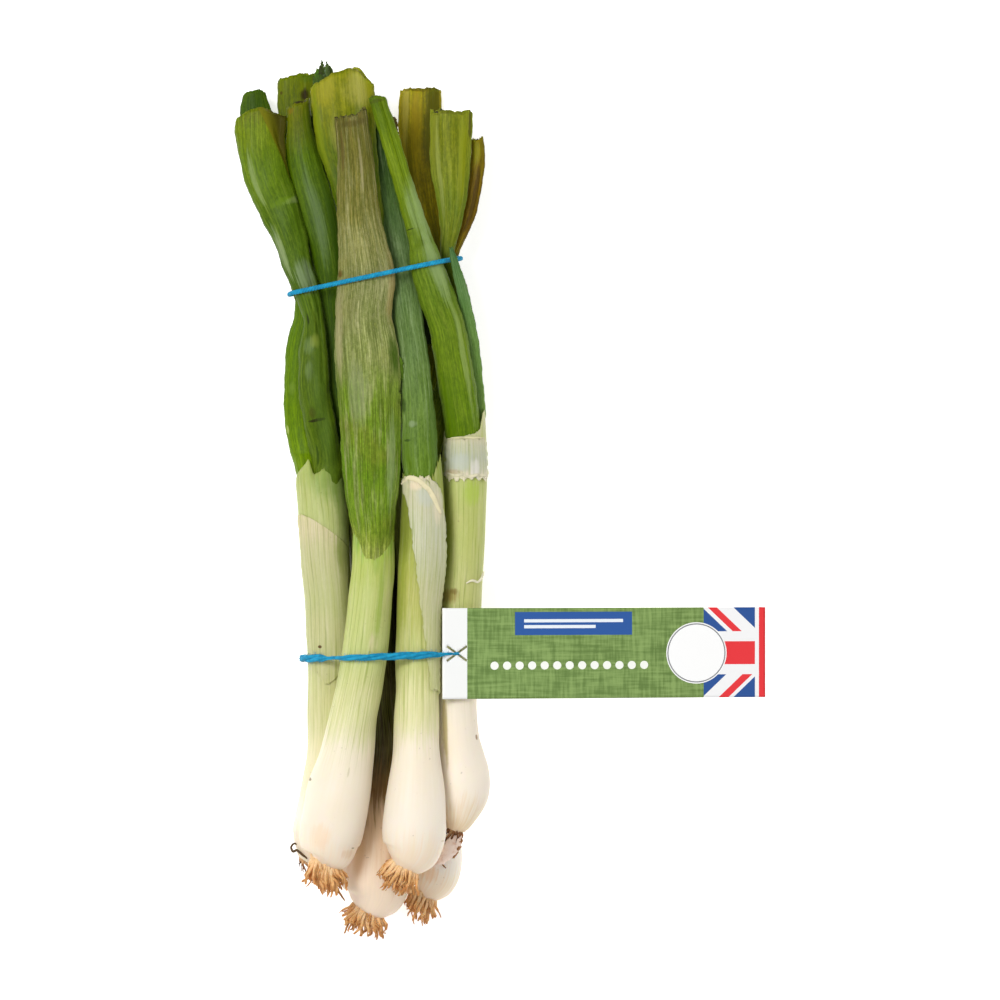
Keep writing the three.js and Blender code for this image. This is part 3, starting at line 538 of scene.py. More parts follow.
shaftStations = {
    "a": [
        (-25.6, -107.4, 6.6, 2.6, 2.6), (-24.0, -105.0, 6.9, 5.4, 5.4), (-22.2, -101.4, 7.2, 7.2, 7.2),
        (-21.0, -96.0, 7.3, 7.5, 7.5), (-19.8, -90.0, 8.0, 7.5, 7.5), (-18.8, -84.0, 9.0, 7.3, 7.3),
        (-17.7, -76.5, 10.3, 7.2, 7.2), (-17.4, -60.0, 13.5, 7.1, 7.1), (-17.4, -46.5, 16.2, 7.1, 7.1),
        (-17.9, -30.0, 15.6, 7.1, 7.1), (-19.1, -18.0, 14.6, 7.2, 7.2), (-19.7, -6.0, 14.2, 7.6, 7.0),
        (-20.8, 6.0, 13.9, 7.3, 6.2), (-21.0, 9.0, 13.8, 7.0, 5.4),
    ],
    "b": [
        (-19.6, -108.2, 25.0, 3.4, 3.4), (-18.2, -105.6, 25.2, 7.2, 7.2), (-17.7, -101.4, 25.4, 9.0, 9.0),
        (-16.8, -97.5, 25.5, 9.6, 9.6), (-15.5, -90.0, 25.6, 9.7, 9.7), (-14.2, -84.0, 25.6, 9.3, 9.3),
        (-12.6, -76.5, 25.8, 8.3, 8.3), (-11.1, -67.5, 26.0, 7.4, 7.4), (-9.4, -58.5, 26.3, 7.0, 7.0),
        (-7.5, -48.0, 26.8, 6.9, 6.9), (-5.9, -34.0, 26.3, 6.7, 6.7), (-4.8, -22.0, 25.0, 6.5, 6.5),
        (-4.5, -10.5, 24.5, 6.2, 5.2),
    ],
    "c": [
        (4.2, -109.4, 26.8, 3.6, 3.6), (5.6, -107.0, 26.9, 6.6, 6.6), (6.9, -103.8, 27.0, 8.5, 8.5),
        (7.4, -99.6, 27.1, 9.5, 9.5), (7.6, -96.0, 27.2, 9.6, 9.6), (7.9, -90.0, 27.4, 9.1, 9.1),
        (8.1, -84.0, 27.5, 8.3, 8.3), (8.2, -78.0, 26.8, 7.5, 7.5), (8.1, -71.0, 25.8, 6.9, 6.9),
        (8.4, -60.0, 25.2, 6.7, 6.7), (8.5, -46.5, 23.8, 6.6, 6.6), (8.8, -32.0, 23.7, 6.6, 6.6),
        (9.8, -18.0, 23.8, 7.1, 7.1), (10.1, -6.0, 23.8, 6.7, 6.4), (9.9, 5.0, 23.8, 6.2, 5.6),
        (9.8, 8.4, 23.8, 5.9, 5.2),
    ],
    "d": [
        (19.2, -98.4, 17.9, 2.5, 2.5), (20.2, -96.0, 17.9, 4.4, 4.4), (20.8, -93.2, 18.0, 6.0, 6.0),
        (21.4, -89.6, 18.0, 7.6, 7.6), (21.9, -85.5, 17.8, 8.2, 8.2), (21.7, -81.0, 17.8, 8.0, 8.0),
        (21.1, -76.5, 18.0, 7.3, 7.3), (20.4, -71.0, 18.2, 6.6, 6.6), (19.9, -60.0, 17.8, 6.3, 6.3),
        (20.3, -46.5, 16.6, 6.4, 6.4), (21.1, -32.0, 15.8, 6.4, 6.4), (21.9, -18.0, 15.2, 6.4, 6.4),
        (22.4, 0.0, 14.5, 6.7, 6.4), (22.4, 10.0, 14.2, 6.8, 6.2), (22.4, 18.4, 14.0, 6.2, 5.6),
    ],
    "e": [
        (-6.9, -123.4, 9.4, 3.4, 3.4), (-6.0, -121.8, 9.6, 6.2, 6.2), (-4.6, -118.4, 9.7, 9.0, 9.0),
        (-4.2, -114.6, 9.8, 10.4, 10.4), (-3.9, -109.0, 9.9, 10.4, 10.4), (-3.7, -104.0, 10.0, 9.8, 9.8),
        (-3.4, -97.5, 10.1, 8.4, 8.4), (-3.9, -90.0, 10.0, 7.4, 7.4), (-3.5, -84.0, 9.9, 6.8, 6.8),
        (-2.6, -72.0, 9.8, 6.5, 6.5), (-3.7, -60.0, 9.8, 6.5, 6.5), (-4.5, -46.5, 9.8, 6.6, 6.6),
        (-4.8, -30.0, 9.8, 6.3, 6.3), (-5.9, -18.0, 9.2, 6.3, 6.3), (-7.4, -6.0, 8.3, 6.2, 6.0),
        (-8.6, 4.8, 8.0, 5.9, 5.2),
    ],
    "f": [
        (10.0, -118.3, 7.2, 2.9, 2.9), (11.2, -116.8, 7.2, 5.0, 5.0), (13.2, -113.4, 7.3, 7.0, 7.0),
        (14.2, -108.6, 7.3, 7.5, 7.5), (14.3, -103.6, 7.5, 7.3, 7.3), (13.0, -97.5, 7.9, 6.9, 6.9),
        (10.9, -90.0, 8.2, 6.5, 6.5), (10.3, -84.0, 8.4, 6.3, 6.3), (10.8, -72.0, 8.9, 6.2, 6.2),
        (10.0, -60.0, 9.2, 6.2, 6.2), (9.3, -46.5, 9.4, 6.2, 6.2), (8.6, -30.0, 9.5, 6.2, 6.2),
        (7.6, -18.0, 9.2, 6.1, 6.1), (6.8, -6.0, 8.9, 6.0, 6.0), (6.6, 5.4, 8.6, 5.7, 5.0),
    ],
}

shaftLook = {
    "vein": "#b0b85c", "streak": "#f0e6cc", "veins": 0.3, "streaks": 0.2, "veinCount": 95.0, "drift": 0.05,
    "fingers": 0.2, "tone": 0.16, "blotches": 0.1, "blotch": "#e6d2a4", "specks": 0.25, "bump": 0.16,
    "lines": 30.0, "lineTint": "#a8b85c", "clear": (0.26, 0.5), "glow": 0.18, "coat": 0.03, "shine": 0.2,
}
# colours from the root plate up, as parts of the shaft's length
shaftColours = {
    "a": [(0.0, "#ead8bc"), (0.1, "#f2e8d8"), (0.25, "#e6deb8"), (0.4, "#d2d09c"), (0.6, "#bcc086"),
          (0.8, "#b9c084"), (0.92, "#b3ba78"), (1.0, "#9aaa58")],
    "b": [(0.0, "#f0dcc2"), (0.12, "#eee2d0"), (0.34, "#eadfc8"), (0.46, "#dcd9a8"), (0.62, "#c4ca86"),
          (0.8, "#bcc47a"), (0.9, "#b2be64"), (0.945, "#a6ba54"), (0.972, "#90b03c"), (1.0, "#7aa028")],
    "c": [(0.0, "#f0dcc2"), (0.12, "#f0e5d4"), (0.28, "#ede1cc"), (0.4, "#dedaa6"), (0.54, "#c8c984"),
          (0.7, "#adb054"), (0.85, "#949d40"), (1.0, "#86953c")],
    "d": [(0.0, "#e6cda8"), (0.1, "#efe4d3"), (0.34, "#ebe0ce"), (0.46, "#d9d6a6"), (0.58, "#bcbe7c"),
          (0.75, "#b9bf72"), (0.92, "#b9c274"), (1.0, "#c6c69a")],
    # e's dark brown band from 0.29 to 0.7 is painted shade, where this shaft lies deep in the gap between b and
    # c
    "e": [(0.0, "#f2dcc4"), (0.08, "#ecd8c0"), (0.2, "#e2c6a4"), (0.29, "#8a6a3c"), (0.4, "#3c2e0c"),
          (0.7, "#40390c"), (1.0, "#6c7a24")],
    "f": [(0.0, "#f6e0c4"), (0.1, "#fbf2e4"), (0.28, "#f2e0c4"), (0.45, "#8a7a38"), (0.7, "#6a6a20"),
          (1.0, "#727c26")],
}
# dirt and bruises: x, y, half width, half length, colour, strength
shaftStains = {
    "a": [(-20.4, -43.5, 0.6, 0.45, "#5a3c1c", 0.95), (-13.4, -2.0, 1.7, 11.0, "#7c9438", 0.6),
          (-13.2, 5.0, 2.3, 7.0, "#6e9030", 0.6), (-13.2, -50.0, 1.8, 9.0, "#8f9148", 0.7),
          (-24.4, -92.0, 1.0, 6.0, "#e8dcc8", 0.6)],
    "b": [(-25.4, -84.8, 0.35, 0.6, "#6b5a30", 0.8), (-10.4, -102.3, 0.4, 0.4, "#8a7a5a", 0.7),
          (-20.5, -100.0, 3.4, 3.4, "#efcaa2", 0.35), (-4.4, -42.0, 1.3, 3.0, "#d6c8a0", 0.6),
          (-11.7, -80.0, 0.3, 1.6, "#c8bf9a", 0.6), (-3.4, -17.0, 1.0, 5.5, "#7c9c34", 0.4),
          (-2.6, -30.0, 1.0, 14.0, "#8fa63c", 0.7), (-12.0, -104.0, 1.6, 1.0, "#c99a68", 0.25)],
    "c": [(4.2, -6.0, 1.6, 14.0, "#6f7a24", 0.8), (3.0, -30.0, 1.2, 16.0, "#8f9a34", 0.7),
          (16.2, -100.3, 0.4, 0.4, "#c8b48a", 0.5)],
    "d": [(17.6, -29.0, 2.6, 2.2, "#94803c", 0.8), (19.4, -27.6, 1.2, 1.0, "#7c682c", 0.8),
          (26.2, -71.0, 0.4, 0.9, "#9a7a5a", 0.9), (16.8, -10.0, 1.6, 16.0, "#84902c", 0.85),
          (16.4, -66.0, 0.9, 12.0, "#a3913c", 0.7), (24.6, 2.0, 2.4, 4.0, "#a8bd4c", 0.8)],
    "e": [(2.0, -106.0, 2.2, 10.0, "#b88c58", 0.6), (-9.0, -105.0, 1.6, 8.0, "#cfa878", 0.5)],
    "f": [(12.0, -112.0, 3.0, 2.4, "#ebc49a", 0.5)],
}
# The sheath's mouth: degrees round from the right side over the top, and how far it reaches up there
shaftRims = {
    "a": {"reach": [(0, 3.0), (60, 1.5), (90, -1.0), (104, -1.6), (114, 3.4), (126, 1.6), (180, -2.4),
                    (270, 0), (360, 3.0)], "teeth": 0.1},
    "b": {"reach": [(0, 3.0), (50, -2.6), (90, -5.4), (130, -2.0), (180, 2.4), (270, 0), (360, 3.0)],
          "teeth": 0.3},
    "c": {"reach": [(0, 4.6), (35, 2.2), (52, -1.4), (75, -2.2), (100, -2.4), (112, 0.4), (140, -1.2),
                    (180, -0.6), (270, 0), (360, 4.6)], "teeth": 0.55},
    "d": {"reach": [(0, 8.4), (22, 7.6), (38, 2.6), (60, 1.2), (95, 0.5), (130, 1.2), (165, 2.4), (180, 2.0),
                    (270, 0), (360, 8.4)], "teeth": 0.12},
    "e": {"reach": [(0, 0), (90, -1), (180, 0), (360, 0)], "teeth": 0.3},
    "f": {"reach": [(0, 0), (90, -1), (180, 0), (360, 0)], "teeth": 0.3},
}
shaftDetail = {"sides": 96, "rings": 120, "crowding": 1.25, "lumps": 0.14, "mouthZone": 14}
# the mouth's wall inwards: how far back it goes and its width there as a part of the rim's
mouthWall = [(-0.12, 0.975), (0.1, 0.945), (2.0, 0.93), (5.0, 0.9)]

shaftLimbs = {letter: makeLimb(stations) for letter, stations in shaftStations.items()}


def makeShaft(letter, seed):
    limb = shaftLimbs[letter]
    v = (np.linspace(0, 1, shaftDetail["rings"]) ** shaftDetail["crowding"])[:, None]
    angle = (2 * math.pi * np.arange(shaftDetail["sides"]) / shaftDetail["sides"])[None, :]
    relief = skinRelief(v, angle, seed, shaftDetail["lumps"])
    rim = shaftRims[letter]
    places, reaches = zip(*rim["reach"])
    reach = np.interp(np.degrees(angle), places, reaches)
    reach = reach + rim["teeth"] * (np.sin(31 * angle + seed) + np.sin(47 * angle + 2 * seed))
    fromV = 1 - shaftDetail["mouthZone"] / limb["length"]
    push = reach * np.clip((v - fromV) / (1 - fromV), 0, 1) ** 1.6
    rings = limbPoints(limb, v, angle, relief - 0.1, push)
    # the mouth is a thin wall round the leaves that come out of it
    ahead = limb["data"][-1, 11:14]
    middle = limb["data"][-1, 0:3]
    level = np.outer((rings[-1] - middle) @ ahead, ahead)
    flat = rings[-1] - middle - level
    wall = [middle + flat * size + level - ahead * back for back, size in mouthWall]
    rings = np.concatenate([rings, np.array(wall)])
    vs = list(v[:, 0]) + [1.0] * len(wall)
    look = {**shaftLook, "colours": shaftColours[letter]}
    stains = [stainOn(limb, stain) for stain in shaftStains[letter]]
    material = plantMaterial("shaftSkin_" + letter, look, limb["length"], seed, stains)
    piece = ringPiece("shaft_" + letter, rings, vs, [material])
    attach(piece, "root")
    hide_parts("onion_%s_shaft" % letter)


for order, letter in enumerate(shaftStations):
    makeShaft(letter, order + 1)
print("shafts made:", len(shaftStations))

# Leaves. mouth is the depth of an open cut end, ragged the tear of the cut.

leaves = {
    "a_leaf_1": {
        "slot": "leaf_green", "warm": (1.36, 1.3, 0.55),
        "bow": 0.6, "mouth": 0, "ragged": 0.4, "lumps": 0.25,
        "path": [
            (-19.6, 10.4, 16.2, 4.4, 2.4), (-19.1, 15.0, 17.2, 4.4, 2.5), (-20.9, 24.0, 18.4, 4.7, 2.7),
            (-22.2, 33.0, 18.9, 4.8, 2.7), (-22.5, 42.0, 19.1, 4.5, 2.6), (-22.3, 51.6, 19.2, 3.1, 2.6),
            (-22.9, 56.0, 19.2, 3.3, 2.6), (-24.9, 63.0, 19.1, 3.8, 2.7), (-27.0, 69.0, 18.8, 4.3, 2.8),
            (-29.6, 78.0, 18.0, 5.1, 3.0), (-32.8, 87.0, 17.0, 6.1, 3.2), (-36.4, 96.0, 16.2, 6.7, 3.3),
            (-38.1, 105.0, 15.6, 7.3, 3.4), (-38.4, 115.6, 15.2, 7.6, 3.0),
        ],
        "fill": [(-18.6, 10.4, 14.6, 5.0, 4.4), (-19.0, 15.0, 16.4, 4.6, 3.2)],
        "tip": [(-1, -3.0), (-0.9, -1.4), (-0.45, 0.7), (0.05, 1.2), (0.6, -0.2), (1, -1.6)],
        "colours": [(0.0, "#819139"), (0.05, "#617721"), (0.14, "#4f6618"), (0.35, "#50661b"),
                    (0.55, "#48621a"),
                    (0.7, "#4a6416"), (0.84, "#597317"), (0.95, "#6b7d18"), (1.0, "#697014")],
        "vein": "#2f4909", "streak": "#7d914d", "streaks": 0.42, "blotches": 0.2, "blotch": "#5b7516",
        "creases": [(0.3, 1.0, 0.62, 0.9, 0.5, 1.2), (0.02, 2.0, 0.2, 1.4, 0.5, 0.8),
                    (0.12, 1.75, 0.32, 1.55, 0.35, 0.6), (0.42, 1.2, 0.5, 1.5, 0.5, 0.8)],
        # the fold's dark olive colour is painted shade of its hollow, edged by a thin olive line
        "fold": {"from": 0.79, "to": 0.26, "depth": 1.8, "colour": "#423f06", "edge": "#6d6c0e"},
        "stains": [(-21.3, 24.2, 2.6, 0.5, "#242204", 0.95), (-22.6, 26.4, 1.0, 1.6, "#413d0d", 0.6),
                   (-23.9, 54.0, 0.35, 1.8, "#263409", 0.9), (-24.0, 46.0, 1.6, 2.6, "#839865", 0.3),
                   (-23.6, 38.4, 1.2, 2.8, "#7f9361", 0.3), (-36.3, 112.6, 0.4, 0.9, "#242004", 0.95),
                   (-21.6, 47.4, 1.2, 2.0, "#96a041", 0.4), (-21.2, 14.6, 0.4, 3.4, "#283d09", 0.7),
                   (-30.4, 88.0, 3.6, 1.0, "#607d09", 0.6), (-26.8, 87.4, 1.2, 1.0, "#93a068", 0.35),
                   (-32.0, 75.0, 1.0, 8.0, "#97a677", 0.6), (-40.0, 96.0, 0.9, 8.0, "#92a369", 0.5),
                   (-24.0, 66.0, 2.6, 5.0, "#7f906b", 0.6), (-18.6, 22.0, 2.4, 26.0, "#4a651d", 0.5)],
    },
    "a_leaf_2": {
        "slot": "leaf_yellow_green", "warm": (1.4, 1.3, 0.2),
        "bow": 0.4, "mouth": 0, "ragged": 0.3, "slant": 0.2, "round": 1.4, "lumps": 0.15,
        "path": [
            (-22.9, 10.0, 10.9, 4.2, 1.9), (-24.4, 13.5, 11.1, 4.6, 2.1), (-25.8, 21.0, 12.0, 5.1, 2.3),
            (-26.4, 30.0, 12.5, 5.1, 2.3), (-25.8, 45.0, 13.0, 5.0, 2.2), (-24.4, 54.0, 13.0, 4.2, 2.1),
            (-24.8, 61.0, 13.0, 3.8, 2.1), (-29.7, 78.0, 11.8, 4.5, 2.0), (-36.0, 96.0, 9.8, 4.8, 1.9),
            (-39.3, 111.0, 8.6, 5.0, 1.8), (-40.2, 117.0, 8.2, 4.6, 1.7), (-40.5, 122.6, 8.0, 3.4, 1.5),
        ],
        "fill": [(-24.2, 9.6, 13.0, 3.8, 4.2), (-24.6, 13.5, 11.9, 4.6, 3.0)],
        "colours": [(0.0, "#7e961d"), (0.1, "#678704"), (0.3, "#5c7d03"), (0.5, "#4c6c04"), (0.8, "#335302"),
                    (1.0, "#375101")],
        "vein": "#3f5c03", "streak": "#7b911d", "streaks": 0.25, "blotches": 0.15, "blotch": "#4c6c04",
        "stains": [(-28.9, 33.4, 1.1, 1.8, "#779134", 0.4), (-30.3, 21.6, 0.5, 1.4, "#9dad59", 0.8),
                   (-22.0, 30.0, 1.4, 14.0, "#385404", 0.8), (-39.5, 119.0, 3.0, 3.0, "#324d03", 0.5)],
    },
    "b_leaf_1": {
        "slot": "leaf_dry", "warm": (1.12, 1.08, 1.02),
        "bow": 1.3, "mouth": 0, "ragged": 1.0, "slant": 1.0, "round": 0.4, "lumps": 0.14,
        "path": [
            (-4.5, -9.9, 26.4, 5.7, 2.4), (-4.9, -3.6, 26.8, 7.0, 2.0), (-5.0, 0.0, 26.9, 7.7, 1.7),
            (-5.1, 6.0, 26.9, 8.4, 1.3), (-5.2, 15.0, 26.8, 8.9, 1.0), (-5.7, 28.5, 26.6, 9.3, 0.8),
            (-6.5, 43.0, 26.0, 9.6, 0.7), (-7.6, 54.6, 25.3, 8.4, 0.7), (-6.7, 66.0, 24.6, 8.6, 0.7),
            (-7.7, 75.0, 24.5, 7.4, 0.7), (-8.9, 84.0, 24.7, 6.5, 0.7), (-9.6, 96.0, 25.1, 5.7, 0.6),
            (-10.3, 105.0, 25.5, 5.2, 0.6), (-11.4, 114.6, 25.9, 4.9, 0.6),
        ],
        "fill": [(-4.5, -9.9, 24.8, 6.2, 5.0), (-4.8, -3.6, 26.2, 7.0, 3.2)],
        "colours": [(0.0, "#c4d26a"), (0.045, "#b0c650"), (0.1, "#90b632"), (0.2, "#80ac26"),
                    (0.34, "#8cac38"), (0.46, "#aeb874"),
                    (0.58, "#b8b984"), (0.7, "#b2ae72"), (0.82, "#9c924e"), (0.92, "#8f8444"), (1.0,
                    "#8a7a44")],
        "vein": "#4c5c12", "streak": "#c2c094", "veins": 0.7, "streaks": 0.6, "veinCount": 230.0,
        "drift": 0.22, "wander": 60.0, "tone": 0.9, "blotches": 0.35, "blotch": "#8c8a30", "matt": 0.25,
        "bump": 1.0,
        "ribs": 0.06, "frill": 0.1, "grain": 1.0,
        "creases": [(1.0, 1.9, 0.62, 1.0, 0.6, 0.5), (0.8, 1.2, 0.3, 1.9, 0.3, 0.6),
                    (0.05, 1.6, 0.5, 1.7, 0.4, 1.2), (0.383, -0.3, 0.378, 0.3, 1.2, 0.45),
                    (0.35, -0.2, 0.352, 0.35, 0.9, 0.4), (0.95, 2.3, 0.8, 1.5, 0.4, 0.4)],
        "stains": [(-14.8, 50.0, 1.3, 13.0, "#c2b48a", 0.4), (1.4, 62.0, 0.9, 11.0, "#a98e56", 0.45),
                   (2.0, 42.0, 1.4, 5.6, "#3f5c08", 0.9), (-8.0, 100.0, 0.4, 9.0, "#b8ad80", 0.4),
                   (-13.6, 104.0, 0.6, 7.0, "#6a5c2c", 0.7), (-14.4, 67.6, 0.9, 1.4, "#6a4c1c", 0.8),
                   (-9.0, 32.0, 3.0, 9.0, "#9ba376", 0.5), (1.2, 12.0, 1.2, 14.0, "#93a56c", 0.6),
                   (-9.8, 112.0, 4.0, 1.0, "#5c5426", 0.6)],
    },
    "b_leaf_2": {
        "slot": "leaf_yellow_green", "warm": (1.25, 1.2, 0.5),
        "bow": 0.8, "mouth": 6, "ragged": 0.7, "lumps": 0.3,
        "path": [
            (-4.5, -9.9, 21.6, 4.6, 1.6), (-4.9, 0.0, 22.0, 5.0, 1.7), (-5.3, 15.0, 22.0, 5.3, 1.7),
            (-5.6, 30.0, 21.8, 5.4, 1.7), (-6.6, 48.0, 21.2, 5.4, 1.7), (-7.6, 66.0, 20.5, 5.6, 1.8),
            (-8.3, 84.0, 20.4, 6.6, 2.0), (-11.0, 99.0, 20.3, 8.0, 2.2), (-12.6, 106.5, 20.1, 8.8, 2.3),
            (-13.5, 117.0, 19.6, 9.6, 2.4), (-14.1, 125.0, 19.2, 9.6, 2.4),
        ],
        "tip": [(-1, -2.8), (-0.9, -1.2), (-0.4, 1.2), (0.2, 3.2), (0.45, 3.6), (0.62, 2.6), (0.72, 0.6),
                (0.85, -0.6), (1, -2.4)],
        "colours": [(0.0, "#6e8f1e"), (0.4, "#4e6913"), (0.72, "#435d0a"), (0.85, "#586c0e"),
                    (0.93, "#747b13"),
                    (1.0, "#898a26")],
        "vein": "#576709", "streak": "#a3a348", "streaks": 0.55, "blotches": 0.45, "blotch": "#88851f",
        "creases": [(1.0, 1.3, 0.75, 1.6, 0.8, 1.6), (0.95, 2.1, 0.7, 2.2, 0.6, 1.2)],
        "stains": [(-19.0, 122.0, 3.6, 4.4, "#969126", 0.7), (-8.0, 121.0, 4.0, 4.4, "#a09b45", 0.7),
                   (-5.6, 122.0, 1.2, 4.0, "#898a07", 0.8), (-21.0, 112.0, 1.0, 12.0, "#717f04", 0.8),
                   (-15.0, 108.0, 2.0, 6.0, "#9d9b43", 0.5), (-8.4, 110.0, 3.0, 5.0, "#627211", 0.7)],
    },
    "c_leaf_1": {
        "slot": "leaf_blue_green", "warm": (1.24, 1.24, 1.15),
        "bow": 0.2, "mouth": 0, "ragged": 0.8, "slant": 0, "round": 1.0, "lumps": 0.25,
        "path": [
            (9.6, 9.0, 25.2, 5.3, 3.0), (9.0, 15.0, 24.8, 5.3, 2.9), (8.7, 24.0, 24.0, 5.1, 2.8),
            (8.1, 33.0, 23.2, 4.9, 2.7), (7.1, 42.0, 22.2, 4.8, 2.5), (5.9, 51.0, 21.0, 4.5, 2.4),
            (4.0, 64.0, 18.7, 5.0, 2.3), (1.9, 76.5, 17.2, 5.0, 2.2), (-1.5, 96.0, 16.2, 4.7, 2.0),
            (-3.5, 112.0, 15.4, 2.7, 1.6),
        ],
        "fill": [(9.4, 9.0, 24.1, 5.2, 4.8), (9.0, 15.0, 24.6, 5.3, 3.8)],
        "colours": [(0.0, "#7b962d"), (0.07, "#64801f"), (0.2, "#678135"), (0.4, "#637b43"), (0.6, "#5c7246"),
                    (0.8, "#435e2d"), (1.0, "#26420d")],
        "vein": "#3c5920", "streak": "#93a47d", "streaks": 0.5, "blotches": 0.15, "blotch": "#5b752d",
        "creases": [(0.25, 1.9, 0.5, 1.5, 0.35, 1.2), (0.02, 2.4, 0.1, 2.2, 0.6, 0.5)],
        "stains": [(7.2, 22.4, 1.2, 1.0, "#9ead8a", 0.4), (6.2, 14.0, 1.8, 5.0, "#587517", 0.6),
                   (5.6, 17.6, 1.2, 0.4, "#2b400c", 0.7), (4.6, 28.0, 0.7, 2.4, "#2a410c", 0.7),
                   (14.0, 20.0, 0.9, 12.0, "#47651c", 0.6)],
    },
    "c_leaf_2": {
        "slot": "leaf_green", "bow": 0, "mouth": 0, "ragged": 1.0, "slant": 0.6, "round": 0.6,
        "lumps": 0.15,
        "path": [
            (9.6, 9.0, 20.4, 3.4, 1.2), (9.0, 18.0, 19.6, 3.2, 1.2), (7.5, 33.0, 18.3, 3.1, 1.1),
            (5.0, 48.0, 16.6, 3.0, 1.1), (0.5, 64.5, 14.0, 3.0, 1.1), (-7.0, 85.0, 12.6, 3.2, 1.1),
            (-14.0, 105.0, 14.0, 3.3, 1.2), (-18.5, 120.0, 14.6, 3.4, 1.2), (-20.1, 128.4, 14.8, 3.2, 1.2),
        ],
        "colours": [(0.0, "#7fa430"), (0.3, "#476216"), (0.8, "#38530a"), (0.95, "#486810"), (1.0,
        "#445510")],
        "vein": "#2f510f", "streak": "#718255", "streaks": 0.4, "blotches": 0.3,
        "stains": [(-18.8, 127.2, 0.8, 1.0, "#6d8063", 0.8), (-21.6, 127.4, 1.2, 1.2, "#3e6113", 0.7)],
    },
    "d_leaf_1": {
        "slot": "leaf_green", "warm": (1.26, 1.22, 0.5),
        "bow": 0.2, "mouth": 0, "ragged": 0.3, "slant": -0.8, "round": 0.8, "lumps": 0.2,
        "path": [
            (21.8, 19.2, 16.2, 4.0, 3.0), (21.7, 24.6, 16.9, 5.0, 3.6), (20.3, 33.0, 17.8, 5.5, 3.9),
            (18.8, 42.0, 19.1, 5.5, 3.9), (17.3, 51.0, 20.5, 5.3, 3.8), (14.9, 58.5, 21.7, 5.4, 3.7),
            (13.1, 64.5, 22.5, 5.2, 3.6), (11.3, 69.6, 23.2, 4.9, 3.3), (9.3, 77.4, 23.9, 3.6, 2.7),
            (7.6, 83.1, 24.1, 3.3, 2.3), (4.4, 93.6, 24.3, 2.9, 2.0), (0.6, 106.5, 24.3, 2.8, 1.7),
            (-3.6, 120.0, 24.3, 2.5, 1.3),
        ],
        "fill": [(22.2, 19.2, 14.6, 5.5, 4.7), (21.6, 24.6, 16.2, 5.4, 4.2)],
        "colours": [(0.0, "#4e6305"), (0.06, "#5c7907"), (0.14, "#617e14"), (0.3, "#688126"),
                    (0.48, "#647d2e"),
                    (0.62, "#687e30"), (0.7, "#71871d"), (0.85, "#718719"), (0.95, "#627910"), (1.0,
                    "#52680a")],
        "vein": "#405e07", "streak": "#8fa059", "streaks": 0.4, "blotches": 0.12, "blotch": "#60820c",
        "creases": [(0.58, 2.7, 0.595, 1.3, 1.0, 0.55), (0.6, 1.35, 0.98, 1.25, 0.6, 0.8),
                    (0.3, 1.1, 0.6, 1.3, 0.3, 1.0)],
        "stains": [(6.1, 81.0, 1.5, 0.22, "#303c08", 0.95), (6.4, 79.8, 0.8, 0.6, "#576918", 0.7),
                   (14.0, 70.0, 2.0, 12.0, "#879c63", 0.75), (10.0, 86.0, 1.2, 9.0, "#869c61", 0.75),
                   (-4.2, 118.6, 2.6, 0.6, "#48540b", 0.7), (18.0, 28.0, 1.6, 10.0, "#4f6d04", 0.6),
                   (22.0, 45.0, 0.8, 20.0, "#95a861", 0.5)],
    },
    "d_leaf_2": {
        "slot": "leaf_blue_green", "warm": (1.35, 1.3, 1.05),
        "bow": 0, "mouth": 0, "ragged": 0.3, "slant": 0, "round": 0, "lumps": 0.05,
        "path": [
            (27.5, 19.2, 12.6, 1.1, 1.2), (27.2, 27.0, 12.6, 1.5, 1.2), (26.0, 36.0, 13.8, 1.9, 1.2),
            (25.0, 45.0, 15.6, 2.0, 1.2), (23.0, 56.4, 18.7, 1.9, 1.1), (21.2, 64.5, 21.6, 1.6, 0.9),
            (19.6, 70.2, 24.7, 1.2, 0.7), (18.4, 75.0, 25.2, 0.5, 0.4),
        ],
        "colours": [(0.0, "#a4b74d"), (0.15, "#779540"), (0.5, "#6f9151"), (0.85, "#577a4d"), (1.0,
        "#3d6440")],
        "vein": "#355d23", "streak": "#9cb793", "streaks": 0.4, "blotches": 0.1, "ribs": 0.02,
    },
    "d_leaf_3": {
        "slot": "leaf_dry", "warm": (1.17, 1.1, 0.45),
        "bow": 0.3, "mouth": 0, "ragged": 0.7, "slant": 0.2, "round": 0.6, "lumps": 0.12,
        "path": [
            (22.6, 19.2, 10.4, 3.0, 1.1), (23.0, 30.0, 10.2, 2.6, 1.1), (22.5, 48.0, 10.6, 2.2, 1.1),
            (18.9, 71.5, 14.2, 1.4, 1.0), (21.0, 78.0, 14.4, 1.6, 0.9), (23.4, 84.0, 14.0, 1.9, 0.9),
            (25.2, 91.5, 13.4, 2.1, 0.9), (26.5, 103.0, 12.5, 2.1, 0.9), (26.1, 108.0, 12.0, 1.9, 0.9),
        ],
        "colours": [(0.0, "#939d1c"), (0.4, "#80810f"), (0.6, "#908711"), (0.72, "#6f5609"),
                    (0.85, "#755e09"),
                    (1.0, "#857d13")],
        "vein": "#4e3904", "streak": "#a38f1c", "streaks": 0.5, "blotches": 0.4, "blotch": "#604807",
        "stains": [(25.6, 90.0, 0.7, 12.0, "#3e2d05", 0.7), (26.0, 104.0, 1.0, 4.0, "#8e8e18", 0.6)],
    },
    "e_leaf_1": {
        "slot": "leaf_green", "warm": (1.34, 1.32, 0.3),
        "bow": 0.3, "mouth": 8, "ragged": 0.6, "slant": 1.4, "round": 0, "lumps": 0.15,
        "path": [
            (-9.4, 6.6, 10.4, 3.6, 1.8), (-12.4, 18.0, 12.8, 3.4, 1.9), (-14.6, 30.0, 14.4, 3.5, 1.7),
            (-15.8, 45.0, 14.9, 3.5, 1.7), (-16.5, 54.0, 15.0, 3.7, 1.8), (-17.3, 63.0, 15.6, 4.1, 2.1),
